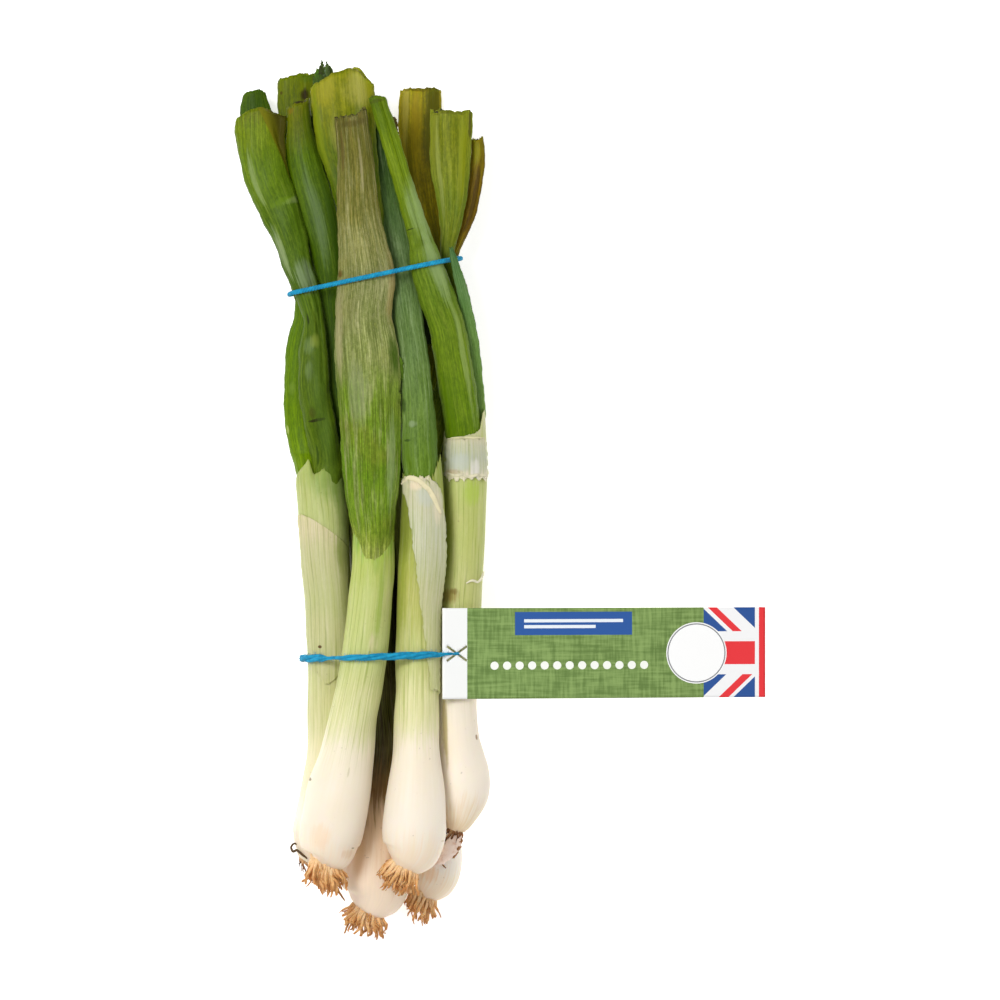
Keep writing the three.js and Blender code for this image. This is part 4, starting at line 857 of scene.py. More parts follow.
            (-18.8, 75.0, 16.2, 4.9, 2.5), (-20.9, 85.0, 15.8, 5.5, 2.5), (-23.9, 95.4, 15.2, 5.4, 2.5),
            (-25.8, 103.5, 14.8, 4.9, 2.5), (-26.9, 112.5, 14.4, 3.8, 2.4), (-27.2, 118.2, 14.2, 3.5, 2.3),
        ],
        "colours": [(0.0, "#4b6318"), (0.2, "#354e0e"), (0.5, "#3f5911"), (0.7, "#455d15"), (0.86, "#4f6709"),
                    (0.95, "#626a05"), (1.0, "#696a0b")],
        "vein": "#294404", "streak": "#6a804e", "streaks": 0.45, "blotches": 0.15, "blotch": "#3f570b",
        "stains": [(-21.0, 84.0, 1.6, 14.0, "#657b4c", 0.5), (-16.0, 80.0, 1.2, 16.0, "#2f4906", 0.75),
                   (-22.6, 110.0, 1.0, 8.0, "#425704", 0.7), (-29.4, 116.5, 1.0, 1.0, "#7c6114", 0.6)],
    },
    "e_leaf_2": {
        "slot": "leaf_yellow_green", "warm": (1.5, 1.45, 0.25),
        "bow": 0.3, "mouth": 6, "ragged": 0.6, "slant": 1.1, "round": 0.4, "lumps": 0.2,
        "path": [
            (-8.2, 6.2, 5.4, 3.6, 1.7), (-10.4, 18.0, 7.2, 3.5, 1.7), (-12.0, 30.0, 9.2, 3.6, 1.7),
            (-15.0, 48.0, 10.8, 3.8, 1.6), (-17.5, 63.0, 11.2, 4.1, 1.6), (-21.5, 85.0, 9.0, 4.6, 1.6),
            (-26.0, 105.0, 5.4, 5.0, 1.6), (-28.2, 118.0, 2.4, 5.5, 1.7), (-28.5, 127.0, 1.5, 5.4, 1.7),
        ],
        "colours": [(0.0, "#7ea122"), (0.5, "#435503"), (0.85, "#4c5902"), (0.95, "#5c6802"), (1.0,
        "#646d02")],
        "vein": "#414e02", "streak": "#77820a", "streaks": 0.35, "blotches": 0.35, "blotch": "#525503",
        "stains": [(-25.0, 121.0, 1.4, 2.0, "#2a1e02", 0.95), (-26.6, 118.6, 1.6, 0.7, "#2c2204", 0.9),
                   (-32.3, 122.2, 0.5, 0.6, "#453804", 0.8), (-24.4, 126.6, 2.2, 2.0, "#486406", 0.7)],
    },
    "f_leaf_1": {
        "slot": "leaf_dry", "warm": (1.36, 1.36, 0.6),
        "bow": 0.2, "mouth": 6, "ragged": 0.7, "slant": 0.2, "round": 0, "lumps": 0.2,
        "path": [
            (6.8, 6.6, 6.2, 4.2, 1.7), (8.6, 18.0, 6.8, 4.4, 1.6), (10.6, 30.0, 7.4, 4.2, 1.5),
            (13.6, 48.0, 8.2, 4.0, 1.4), (14.0, 69.6, 9.4, 4.2, 1.3), (12.6, 78.0, 9.2, 4.3, 1.3),
            (10.6, 90.0, 7.4, 4.8, 1.3), (8.8, 105.0, 4.4, 5.8, 1.4), (9.0, 115.0, 2.2, 6.4, 1.4),
            (9.1, 123.0, 1.2, 6.3, 1.4),
        ],
        "colours": [(0.0, "#84a61a"), (0.5, "#585907"), (0.75, "#807009"), (0.88, "#93830b"), (1.0,
        "#9f911d")],
        "vein": "#5d4f05", "streak": "#c0aa34", "streaks": 0.5, "blotches": 0.3, "blotch": "#806b0a",
        "stains": [(12.8, 112.0, 2.4, 20.0, "#34340a", 0.85), (13.4, 116.0, 2.6, 16.0, "#565507", 0.85),
                   (4.8, 118.0, 1.2, 14.0, "#ac9f43", 0.6),
                   (8.0, 112.0, 1.3, 14.0, "#95810b", 0.8), (6.4, 100.0, 0.8, 10.0, "#675e0b", 0.6),
                   (9.0, 122.6, 5.0, 0.5, "#584a12", 0.6)],
    },
    "f_leaf_2": {
        "slot": "leaf_yellow_green", "warm": (1.24, 1.2, 0.62),
        "bow": 0.8, "mouth": 0, "ragged": 0.9, "slant": -0.1, "round": -0.4, "lumps": 0.3,
        "path": [
            (9.0, 7.4, 10.8, 4.4, 1.5), (12.2, 18.0, 11.0, 3.9, 1.4), (16.2, 30.0, 11.6, 3.7, 1.2),
            (18.6, 40.0, 12.5, 2.8, 1.2), (20.0, 50.0, 14.2, 2.7, 1.2), (20.9, 62.0, 16.8, 2.4, 1.1),
            (17.5, 71.5, 17.6, 2.2, 1.1), (17.3, 75.0, 17.6, 2.3, 1.1), (18.2, 81.0, 17.4, 3.0, 1.0),
            (18.6, 90.0, 17.0, 4.6, 0.9), (18.3, 99.0, 16.4, 5.8, 0.8), (18.3, 111.0, 15.8, 6.3, 0.7),
            (18.4, 115.6, 15.4, 6.3, 0.7),
        ],
        "colours": [(0.0, "#718720"), (0.4, "#53620e"), (0.6, "#4b5d13"), (0.75, "#647523"), (0.9, "#757e26"),
                    (1.0, "#7b8029")],
        "vein": "#5f6f14", "streak": "#a6a962", "streaks": 0.55, "blotches": 0.35, "blotch": "#7d8011",
        "creases": [(0.98, 1.2, 0.7, 1.4, 0.5, 0.8), (0.98, 1.9, 0.72, 1.8, 0.5, 0.8)],
        "stains": [(22.0, 102.0, 1.3, 14.0, "#7e8508", 0.75), (13.4, 111.0, 0.8, 12.0, "#777d19", 0.6),
                   (24.2, 112.0, 0.5, 5.0, "#413c14", 0.7), (18.4, 115.0, 5.6, 0.4, "#565519", 0.55),
                   (15.2, 96.0, 0.9, 16.0, "#91994b", 0.5)],
    },
}
leafDetail = {"sides": 64, "rings": 120, "rootDepth": 8.0, "fullness": 0.85,
              "hollow": [(0.03, 0.95), (0.05, 0.84), (0.5, 0.78), (1.0, 0.6)]}

leafLimbs = {}


def makeLeaf(name, leaf, seed):
    if "fill" in leaf:
        # the leaf fills the sheath's mouth and goes on down inside it
        shaft = shaftLimbs[name[0]]
        inside = 1 - leafDetail["rootDepth"] / shaft["length"]
        centre = [float(np.interp(inside, shaft["v"], shaft["data"][:, k])) for k in range(5)]
        side = (leaf["fill"][0][0] - shaft["data"][-1, 0]) * 0.7
        wide = min(centre[3], leaf["fill"][0][3]) * 0.88
        buried = (centre[0] + side, centre[1], centre[2], wide, centre[4] * 0.8)
        stations = [buried] + leaf["fill"] + leaf["path"][len(leaf["fill"]):]
    else:
        first = np.array(leaf["path"][0], dtype=float)
        second = np.array(leaf["path"][1], dtype=float)
        back = (first[:3] - second[:3]) / np.linalg.norm(first[:3] - second[:3])
        buried = (*(first[:3] + back * leafDetail["rootDepth"]), first[3] * 0.85, first[4] * 0.85)
        stations = [buried] + leaf["path"]
    limb = makeLimb(stations, leaf["bow"], leafDetail["fullness"])
    leafLimbs[name] = limb
    sides = leafDetail["sides"]
    v = np.linspace(0, 1, leafDetail["rings"])[:, None]
    angle = (2 * math.pi * (np.arange(sides) + 0.5) / sides)[None, :]
    across = np.sign(np.cos(angle)) * np.abs(np.cos(angle)) ** leafDetail["fullness"]
    relief = skinRelief(v, angle, seed, leaf["lumps"], leaf.get("ribs", 0.05))
    for crease in leaf.get("creases", []):
        relief = relief + creaseRelief(limb, v, angle, crease)
    frill = leaf.get("frill", 0.08) * np.abs(np.cos(angle)) ** 6
    reach = v * limb["length"]
    relief = relief + frill * (np.sin(reach * 0.9 + seed) + 0.6 * np.sin(reach * 2.3))
    if "fold" in leaf:
        fold = leaf["fold"]
        limit = fold["to"] * np.clip((v - fold["from"]) / (1 - fold["from"]), 0, 1)
        inside = np.clip((limit - angle / (2 * math.pi)) / 0.05, 0, 1)
        relief = relief - fold["depth"] * inside * np.sin(np.clip(angle, 0, math.pi / 2) * 2)
    relief = np.maximum(relief, -0.75 * np.interp(v, limb["v"], limb["data"][:, 4]))
    # the cut end leans and rounds as its leaf does, and is torn in waves with small teeth
    ramp = np.clip((v - 0.92) / 0.08, 0, 1) ** 2
    tear = np.sin(2 * angle + seed) + 0.7 * np.sin(5 * angle + 2 * seed)
    teeth = 0.4 * np.sin(17 * angle + seed) + 0.3 * np.sin(29 * angle) + 0.2 * np.sin(53 * angle)
    if "tip" in leaf:
        push = ramp * np.interp(across, *zip(*leaf["tip"]))
    else:
        push = ramp * (leaf["slant"] * across - leaf["round"] * np.abs(across) ** 3)
    push = push + np.clip((v - 0.965) / 0.035, 0, 1) ** 2 * leaf["ragged"] * (0.6 * tear + 0.6 * teeth)
    rings = limbPoints(limb, v, angle, relief, push)
    vs = list(v[:, 0])
    slots = [0] * (len(vs) - 1)
    stains = [stainOn(limb, stain) for stain in leaf.get("stains", [])]
    materials = [plantMaterial("leafSkin_" + name, leaf, limb["length"], seed, stains), hollowShadeMaterial]
    ahead = limb["data"][-1, 11:14]
    middle = limb["data"][-1, 0:3]
    # the open end: a thin lip, then a hollow painted dark as its shade
    depth = max(leaf["mouth"], 1.0)
    hollow = []
    rim = rings[-1]
    level = np.outer((rim - middle) @ ahead, ahead)
    for part, size in leafDetail["hollow"]:
        hollow.append(middle + (rim - middle - level) * size + level * (1 - part) - ahead * depth * part)
        vs.append(1.0)
        slots.append(0 if part < 0.1 else 1)
    rings = np.concatenate([rings, np.array(hollow)])
    piece = ringPiece("leaf_" + name, rings, vs, materials, slots)
    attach(piece, "root")
    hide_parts("onion_" + name)


# the inside of a cut leaf is painted dark olive, as painted shade in its hollow
hollowShadeMaterial = startMaterial("leafHollowShade", Base_Color=hexColour("#39380c"), Roughness=0.8)[0]
for order, (name, leaf) in enumerate(leaves.items()):
    makeLeaf(name, leaf, order)
print("leaves made:", len(leaves))


# Geometry Nodes trees with named inputs, the shape first and the material last
def newTree(name, inputs):
    tree = bpy.data.node_groups.new(name, "GeometryNodeTree")
    for label, kind in (("Geometry", "Geometry"), *inputs, ("Material", "Material")):
        tree.interface.new_socket(label, in_out="INPUT", socket_type="NodeSocket" + kind)
    tree.interface.new_socket("Geometry", in_out="OUTPUT", socket_type="NodeSocketGeometry")
    given = {socket.name: Field(socket) for socket in tree.nodes.new("NodeGroupInput").outputs}
    return tree, given, tree.nodes.new("NodeGroupOutput")


def applyTree(piece, tree, values):
    modifier = piece.modifiers.new("shape", "NODES")
    modifier.node_group = tree
    for item in tree.interface.items_tree:
        if item.item_type == "SOCKET" and item.in_out == "INPUT" and item.name in values:
            modifier[item.identifier] = values[item.name]
    piece.update_tag()
    depsgraph = bpy.context.evaluated_depsgraph_get()
    shaped = bpy.data.meshes.new_from_object(
        piece.evaluated_get(depsgraph), preserve_all_data_layers=True, depsgraph=depsgraph
    )
    piece.modifiers.clear()
    piece.data = shaped
    for vertex in shaped.vertices:
        vertex.co.z = max(vertex.co.z, 0.0)


def randomNode(tree, low, high, seed):
    kind = "FLOAT_VECTOR" if isinstance(low, tuple) else "FLOAT"
    links = [("Min", low), ("Max", high), ("Seed", seed)]
    node = addNode(tree, "FunctionNodeRandomValue", links, data_type=kind)
    return Field([socket for socket in node.outputs if socket.enabled][0])


# A thin tube along a curve
def tubeNode(tree, curve, sides, radius, *others):
    ring = addNode(tree, "GeometryNodeCurvePrimitiveCircle", [("Resolution", sides), ("Radius", radius)])
    return addNode(tree, "GeometryNodeCurveToMesh", [("Curve", curve), ("Profile Curve", ring), *others])


# A straight line of a few points, to stand on a surface
def lineNode(tree, start, end, count):
    line = addNode(tree, "GeometryNodeCurvePrimitiveLine", [("Start", start), ("End", end)])
    return addNode(tree, "GeometryNodeResampleCurve", [("Curve", line), ("Count", count)])


# Copies of a strand on scattered points, as real geometry
def standOn(tree, scatter, strand, direction, scale):
    turned = addNode(tree, "FunctionNodeAlignRotationToVector", [("Vector", direction)], axis="Z")
    placed = addNode(tree, "GeometryNodeInstanceOnPoints", [
        ("Points", out(scatter, "Points")), ("Instance", strand), ("Rotation", turned), ("Scale", scale),
    ])
    return addNode(tree, "GeometryNodeRealizeInstances", [("Geometry", placed)])


def namedValue(tree, name):
    node = addNode(tree, "GeometryNodeInputNamedAttribute", [("Name", name)], data_type="FLOAT")
    return out(node, "Attribute")


def finishTree(tree, given, gout, parts):
    joined = addNode(tree, "GeometryNodeJoinGeometry", [(0, part) for part in parts])
    links = [("Geometry", joined), ("Material", given["Material"])]
    feed(gout.inputs[0], addNode(tree, "GeometryNodeSetMaterial", links))
    return tree


# Root strands: points scattered on a plate, a tapered strand on each, then waves and droop
def makeRootTree():
    tree, given, gout = newTree("rootStrands", [
        ("Density", "Float"), ("Length", "Float"), ("Thickness", "Float"), ("Spread", "Float"),
        ("Lean", "Vector"), ("Wave", "Float"), ("Droop", "Float"), ("Seed", "Int"),
    ])
    scatter = addNode(tree, "GeometryNodeDistributePointsOnFaces", [
        ("Mesh", given["Geometry"]), ("Density", given["Density"]), ("Seed", given["Seed"]),
    ])
    line = lineNode(tree, (0, 0, -0.1), (0, 0, 1), 12)
    factor = out(addNode(tree, "GeometryNodeSplineParameter"), "Factor")
    stored = addNode(tree, "GeometryNodeStoreNamedAttribute", [
        ("Geometry", line), ("Name", "grow"), ("Value", factor),
    ], data_type="FLOAT", domain="POINT")
    strand = tubeNode(tree, stored, 8, 1.0, ("Scale", 1.0 - factor ** 1.6 * 0.62), ("Fill Caps", True))
    outward = out(scatter, "Normal").vector("SCALE", given["Spread"]).vector("ADD", given["Lean"])
    direction = outward.vector("ADD", randomNode(tree, (-0.3, -0.3, -0.3), (0.3, 0.3, 0.3), 3))
    size = randomNode(tree, 0.55, 1.2, 5)
    thin = given["Thickness"] * size
    real = standOn(tree, scatter, strand, direction, joinPlace(tree, thin, thin, given["Length"] * size))
    grown = namedValue(tree, "grow") ** 1.5
    where = addNode(tree, "GeometryNodeInputPosition")
    noise = addNode(tree, "ShaderNodeTexNoise", [("Vector", where), ("Scale", 260.0), ("Detail", 1.0)])
    centred = out(noise, "Color").vector("SUBTRACT", (0.5, 0.5, 0.5))
    wave = centred.vector("SCALE", grown * given["Wave"])
    drop = joinPlace(tree, 0.0, 0.0, grown * given["Droop"] * -1.0)
    offset = wave.vector("ADD", drop)
    moved = addNode(tree, "GeometryNodeSetPosition", [("Geometry", real), ("Offset", offset)])
    smooth = addNode(tree, "GeometryNodeSetShadeSmooth", [("Geometry", moved)])
    return finishTree(tree, given, gout, [smooth, given["Geometry"]])


def rootMaterial(name, stops):
    material, tree, shader = startMaterial(
        name, Roughness=0.75, Subsurface_Weight=0.15, Subsurface_Radius=(1.0, 0.5, 0.25),
        Subsurface_Scale=0.001,
    )
    place = objectPlace(tree)
    grow = out(addNode(tree, "ShaderNodeAttribute", attribute_name="grow"), "Fac")
    base = rampNode(tree, grow + (noiseNode(tree, place, 420.0) - 0.5) * 1.1, stops)
    fine = noiseNode(tree, place, 1500.0, 2.0)
    specks = rangeNode(tree, fine, 0.5, 0.75, 0.0, 0.35)
    feed(shader.inputs["Base Color"], mixNode(tree, specks, base, hexColour("#8a5426")))
    feed(shader.inputs["Normal"], bumpNormal(tree, fine, 0.5, 0.0003))
    return material


rootTree = makeRootTree()
tanStops = [(0.0, "#f0cc9c"), (0.3, "#ecc290"), (0.65, "#e0ae70"), (1.0, "#bc8042")]
darkStops = [(0.0, "#c89c6c"), (0.4, "#8a5a30"), (1.0, "#402812")]
rootTufts = {
    "a": {"count": 16, "plate": 2.2, "length": 3.4, "thick": 0.3, "spread": 0.6,
          "lean": (0.3, -0.9, -0.2), "stops": darkStops},
    "b": {"count": 190, "plate": 4.2, "length": 6.8, "thick": 0.52, "spread": 0.26,
          "lean": (0.12, -0.95, 0.05), "stops": tanStops},
    "c": {"count": 170, "plate": 3.9, "length": 6.2, "thick": 0.5, "spread": 0.24,
          "lean": (-0.42, -0.85, 0.0), "stops": tanStops},
    "d": {"count": 40, "plate": 2.0, "length": 3.4, "thick": 0.32, "spread": 0.4,
          "lean": (-0.3, -0.9, 0.1), "stops": darkStops},
    "e": {"count": 180, "plate": 4.2, "length": 5.4, "thick": 0.56, "spread": 0.45,
          "lean": (-0.2, -0.9, -0.05), "stops": tanStops},
    "f": {"count": 130, "plate": 3.4, "length": 6.2, "thick": 0.52, "spread": 0.2,
          "lean": (-0.3, -0.95, -0.05), "stops": tanStops},
}


def makeRoots(letter, tuft, seed):
    limb = shaftLimbs[letter]
    foot = limb["data"][0]
    axis = -foot[11:14]
    # a domed plate that starts inside the bulb's end
    turn = 2 * math.pi * np.arange(28) / 28
    rings = []
    for depth, size in ((-2.2, 0.92), (-1.6, 1.0), (-0.6, 0.95), (0.3, 0.8), (1.0, 0.55), (1.3, 0.25)):
        wide = tuft["plate"] * size
        ring = foot[0:3] + axis * depth + foot[5:8] * (wide * np.cos(turn))[:, None]
        rings.append(ring + foot[8:11] * (wide * np.sin(turn))[:, None])
    material = rootMaterial("rootSkin_" + letter, tuft["stops"])
    piece = ringPiece("roots_" + letter, np.array(rings)[:, ::-1], [0.0] * 6, [material])
    area = sum(face.area for face in piece.data.polygons)
    applyTree(piece, rootTree, {
        "Density": tuft["count"] / area, "Length": tuft["length"] / 1000, "Thickness": tuft["thick"] / 1000,
        "Spread": tuft["spread"], "Lean": tuft["lean"], "Wave": 0.0052, "Droop": 0.0012, "Seed": seed * 7 + 3,
        "Material": material,
    })
    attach(piece, "root")
    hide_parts("onion_%s_roots" % letter)


for order, (letter, tuft) in enumerate(rootTufts.items()):
    makeRoots(letter, tuft, order + 1)
print("root tufts made:", len(rootTufts))

# Loose skins: thin torn layers on the shafts. Rows are height up the bunch, left edge and right edge.

skins = {
    "sheathC": {
        "on": "c", "tears": 0.7, "seed": 3, "edge": 0.25,
        "rows": [
            (-57.0, 12.3, 15.3), (-48.0, 11.4, 15.9), (-42.0, 10.8, 16.2), (-30.0, 9.3, 16.8),
            (-21.0, 8.4, 16.8), (-12.0, 7.2, 16.8), (-4.5, 6.3, 16.2), (0.0, 5.4, 15.6), (4.5, 4.2, 14.7),
            (6.9, 4.2, 12.0),
        ],
        "colours": [(0.0, "#d9dba8"), (0.5, "#cfd294"), (0.7, "#c6c99a"), (0.85, "#cbceae"),
                    (0.96, "#cfcdaa"),
                    (1.0, "#e6d8b8")],
        "stains": [(11.0, 1.0, 2.6, 3.0, "#c3cab4", 0.7), (8.0, 4.4, 2.0, 1.4, "#e9d8b0", 0.8),
                   (14.4, -2.0, 1.2, 5.0, "#e6dcb8", 0.7)],
    },
    "ringD": {
        "on": "d", "tears": 1.1, "seed": 5, "edge": 0.3,
        "rows": [
            (6.0, 17.4, 28.5), (9.0, 16.8, 29.1), (12.0, 16.8, 29.1), (15.6, 17.1, 29.1),
            (18.6, 17.7, 28.2),
        ],
        "colours": [(0.0, "#e9dfc4"), (0.9, "#e9dfc4"), (0.925, "#c9ccae"), (0.95, "#c0c6ae"),
                    (0.975, "#c9ccae"),
                    (1.0, "#d9d2b0")],
        "stains": [(21.0, 11.0, 3.0, 2.6, "#bcc5b2", 0.7), (25.6, 9.0, 1.4, 3.0, "#e4e2d2", 0.7),
                   (19.0, 8.2, 2.4, 0.8, "#b59c70", 0.5)],
    },
    "layerA": {
        "on": "a", "tears": 0.15, "seed": 2, "edge": 0.06,
        "rows": [
            (-53.1, -18.9, -18.0), (-51.3, -20.4, -15.6), (-49.2, -23.1, -14.1), (-42.0, -24.3, -12.9),
            (-30.0, -25.2, -12.0),
            (-18.0, -26.1, -12.0), (-14.4, -26.1, -12.3), (-12.0, -26.4, -14.4), (-9.0, -26.7, -18.0),
            (-6.0, -27.0, -22.2), (-3.9, -27.0, -25.8),
        ],
        "colours": [(0.0, "#d3d29c"), (0.5, "#c9ca90"), (0.66, "#c0c48a"), (0.78, "#c6c592"),
                    (0.86, "#d6cb9e"),
                    (0.9, "#dccfa6"), (1.0, "#dccfa6")],
        "stains": [(-13.6, -16.0, 2.0, 7.0, "#8d9a4c", 0.8), (-20.4, -43.5, 0.6, 0.45, "#5a3c1c", 0.95),
                   (-12.6, -30.0, 1.4, 12.0, "#a0a45c", 0.7)],
    },
}
skinDetail = {"rows": 70, "columns": 28, "lift": 0.34, "thick": 0.14}


def tornEdge(places, size, seed):
    return size * (np.sin(1.9 * places + seed) + 0.6 * np.sin(4.7 * places + 2 * seed)
                   + 0.5 * np.sin(9.1 * places + 3 * seed)) / 2


def makeSkin(name, skin):
    limb = shaftLimbs[skin["on"]]
    heights, lefts, rights = (np.array(values) for values in zip(*skin["rows"]))
    y = np.linspace(heights[0], heights[-1], skinDetail["rows"])[:, None]
    along = np.interp(y, limb["data"][:, 1], limb["v"])
    centre, wide = (np.interp(along, limb["v"], limb["data"][:, k]) for k in (0, 3))
    left = np.interp(y, heights, lefts) + tornEdge(y * 0.4, skin["tears"] * 0.5, skin["seed"])
    right = np.interp(y, heights, rights) + tornEdge(y * 0.4, skin["tears"] * 0.5, skin["seed"] + 4)
    left = np.maximum(left, centre - 0.97 * wide)
    right = np.minimum(right, centre + 0.97 * wide)
    u = np.linspace(1, 0, skinDetail["columns"])[None, :]
    x = left + (right - left) * u
    ends = np.clip((np.abs(y - y.mean()) / (heights[-1] - heights[0]) * 2 - 0.7) / 0.3, 0, 1) ** 2
    tall = y + ends * tornEdge(x * 1.6, skin["tears"], skin["seed"] + 1)
    v, angle = skinPlace(limb, x, tall)
    rim = np.maximum(np.abs(2 * u - 1) ** 10, ends)
    lift = skinDetail["lift"] + skin["edge"] * rim * (0.6 + 0.4 * np.sin(2.3 * y + 3.1 * x))
    top = limbPoints(limb, v, angle, lift)
    under = limbPoints(limb, v, angle, lift - skinDetail["thick"])
    look = {**shaftLook, "colours": skin["colours"], "clear": (0.2, 0.4), "drift": 0.02, "fingers": 0.04}
    stains = [stainOn(limb, stain) for stain in skin["stains"]]
    material = plantMaterial("skin_" + name, look, limb["length"], skin["seed"], stains)
    piece = sheetPiece("skin_" + name, top, under, v, angle / (2 * math.pi), [material])
    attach(piece, "root")


def dryMaterial(name, code, shade):
    material, tree, shader = startMaterial(name, Roughness=0.7, Specular_IOR_Level=0.2)
    streak = noiseNode(tree, objectPlace(tree), 420.0, 4.0)
    tone = rangeNode(tree, streak, 0.45, 0.75)
    feed(shader.inputs["Base Color"], mixNode(tree, tone, hexColour(code), hexColour(shade)))
    feed(shader.inputs["Normal"], bumpNormal(tree, streak, 0.4, 0.0002))
    return material


# Scraps: small torn sheets, by their left and right edges from the low end up; the dark ones in the gaps stand
# for painted shade
scraps = {
    # the first seven, dark and nearly black, are sheets laid in the gaps between shafts and leaves as painted
    # shade
    "innerBC": {"slot": "leaf_dry", "code": "#3a4a10", "shade": "#20260a", "bow": 0.4,
        "left": [(2.7, 6.6, 14), (2.1, 18.0, 15), (2.1, 32.4, 15)],
        "right": [(6.3, 6.6, 14), (6.0, 18.0, 15), (5.7, 32.4, 15)]},
    "innerCD": {"slot": "leaf_dry", "code": "#34400f", "shade": "#1f240a", "bow": 0.4,
        "left": [(12.9, -1.5, 8), (13.2, 9.0, 9), (12.9, 22.5, 9)],
        "right": [(17.7, -1.5, 8), (18.0, 9.0, 9), (17.4, 22.5, 9)]},
    "innerLowBC": {"slot": "leaf_dry", "code": "#30280a", "shade": "#1a1504", "bow": 0.4,
        "left": [(-1.2, -49.5, 8), (-0.9, -30.0, 8), (-0.6, -4.5, 8)],
        "right": [(4.8, -49.5, 8), (4.5, -30.0, 8), (4.2, -4.5, 8)]},
    "innerAB": {"slot": "leaf_dry", "code": "#3a3c0e", "shade": "#202008", "bow": 0.4,
        "left": [(-14.1, -33.0, 6), (-14.1, -22.5, 6), (-13.8, -10.5, 6)],
        "right": [(-9.6, -33.0, 6), (-9.6, -22.5, 6), (-9.6, -10.5, 6)]},
    "innerTop": {"slot": "leaf_green", "code": "#33440c", "shade": "#1e280a", "bow": 0.4,
        "left": [(-21.6, 87.0, 12), (-24.0, 102.0, 13), (-25.8, 114.6, 13)],
        "right": [(-14.4, 87.0, 12), (-16.2, 102.0, 13), (-19.8, 114.6, 13)]},
    "innerAE": {"slot": "leaf_green", "code": "#2f3c0a", "shade": "#1a2206", "bow": 0.4,
        "left": [(-29.4, 82.5, 11), (-31.2, 94.5, 12), (-32.1, 105.6, 12)],
        "right": [(-24.6, 82.5, 11), (-26.1, 94.5, 12), (-27.9, 105.6, 12)]},
    "innerDC": {"slot": "leaf_green", "code": "#2c380c", "shade": "#1a2206", "bow": 0.4,
        "left": [(7.5, 46.5, 12), (7.2, 54.0, 12), (6.6, 61.2, 12)],
        "right": [(12.6, 46.5, 12), (12.0, 54.0, 12), (11.1, 61.2, 12)]},
    "flapB": {"slot": "leaf_green", "code": "#4d6b0c", "shade": "#2f4406", "bow": 0.2,
        "left": [(2.1, 34.8, 25.2), (1.8, 38.4, 25.4), (1.2, 42.0, 25.6), (0.9, 45.6, 25.8)],
        "right": [(3.3, 34.8, 24.4), (4.5, 36.6, 24.6), (4.2, 40.8, 25.0), (2.1, 45.6, 25.6)]},
    "scrapD": {"slot": "shaft", "code": "#f3dccb", "shade": "#dcb197", "bow": 0.9,
        "left": [(13.2, -108.6, 17.6), (15.0, -105.6, 18.6), (16.2, -102.6, 19.2), (18.0, -100.2, 19.0)],
        "right": [(16.2, -108.6, 16.6), (19.8, -105.6, 17.2), (21.3, -102.9, 17.4), (21.6, -99.3, 17.0)]},
    "scrapDEdge": {"slot": "roots", "code": "#a06c40", "shade": "#5c3418", "bow": 0.2,
        "left": [(18.6, -106.8, 16.6), (20.1, -103.8, 17.8), (20.7, -101.4, 17.8), (21.0, -98.7, 17.2)],
        "right": [(19.5, -106.8, 15.8), (21.3, -103.8, 16.8), (21.9, -101.4, 16.9), (21.9, -98.7, 16.4)]},
    "bitF": {"slot": "leaf_dry", "code": "#574a16", "shade": "#2c2408", "bow": 0.2,
        "left": [(0.6, 105.0, 15.0), (0.0, 109.2, 15.4), (-0.3, 112.8, 15.6), (-0.6, 114.3, 15.6)],
        "right": [(2.1, 105.0, 14.6), (2.7, 109.2, 14.8), (2.4, 112.8, 15.0), (1.8, 114.3, 15.2)]},
    "spikeLeft": {"slot": "leaf_green", "code": "#3e521a", "shade": "#241f0a", "bow": 0.1,
        "left": [(-21.0, 126.6, 20.6), (-20.7, 128.4, 20.8), (-20.4, 129.9, 21.0), (-20.1, 130.8, 21.2)],
        "right": [(-19.2, 126.6, 20.2), (-19.2, 128.4, 20.6), (-19.5, 129.9, 20.9), (-19.8, 130.8, 21.1)]},
    "spikeRight": {"slot": "leaf_green", "code": "#4a5f2c", "shade": "#241f0a", "bow": 0.1,
        "left": [(-18.9, 126.0, 20.8), (-18.9, 127.8, 21.0), (-18.9, 129.3, 21.2), (-18.7, 130.5, 21.4)],
        "right": [(-17.4, 126.0, 20.4), (-17.7, 127.8, 20.8), (-18.0, 129.3, 21.0), (-18.4, 130.5, 21.3)]},
}


def makeScrap(name, scrap, seed):
    edges = [np.array(scrap[side], dtype=float) for side in ("left", "right")]
    t = np.linspace(0, 1, 30)
    u = np.linspace(1, 0, 12)[None, :, None]
    lines = []
    for edge in edges:
        line = np.stack([np.interp(t, np.linspace(0, 1, len(edge)), edge[:, k]) for k in range(3)], axis=1)
        line[:, 0] += tornEdge(t * 14, 0.25, seed + len(lines))
        lines.append(line[:, None, :])
    top = lines[0] + (lines[1] - lines[0]) * u
    arch = 1 - (2 * u[..., 0] - 1) ** 2
    top[..., 2] += scrap["bow"] * arch + 0.12 * np.sin(9 * t[:, None] + 5 * u[..., 0] + seed)
    under = top - [0, 0, 0.2]
    material = dryMaterial("scrap_" + name, scrap["code"], scrap["shade"])
    piece = sheetPiece("scrap_" + name, top, under, t[:, None], u[..., 0], [material])
    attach(piece, "root")


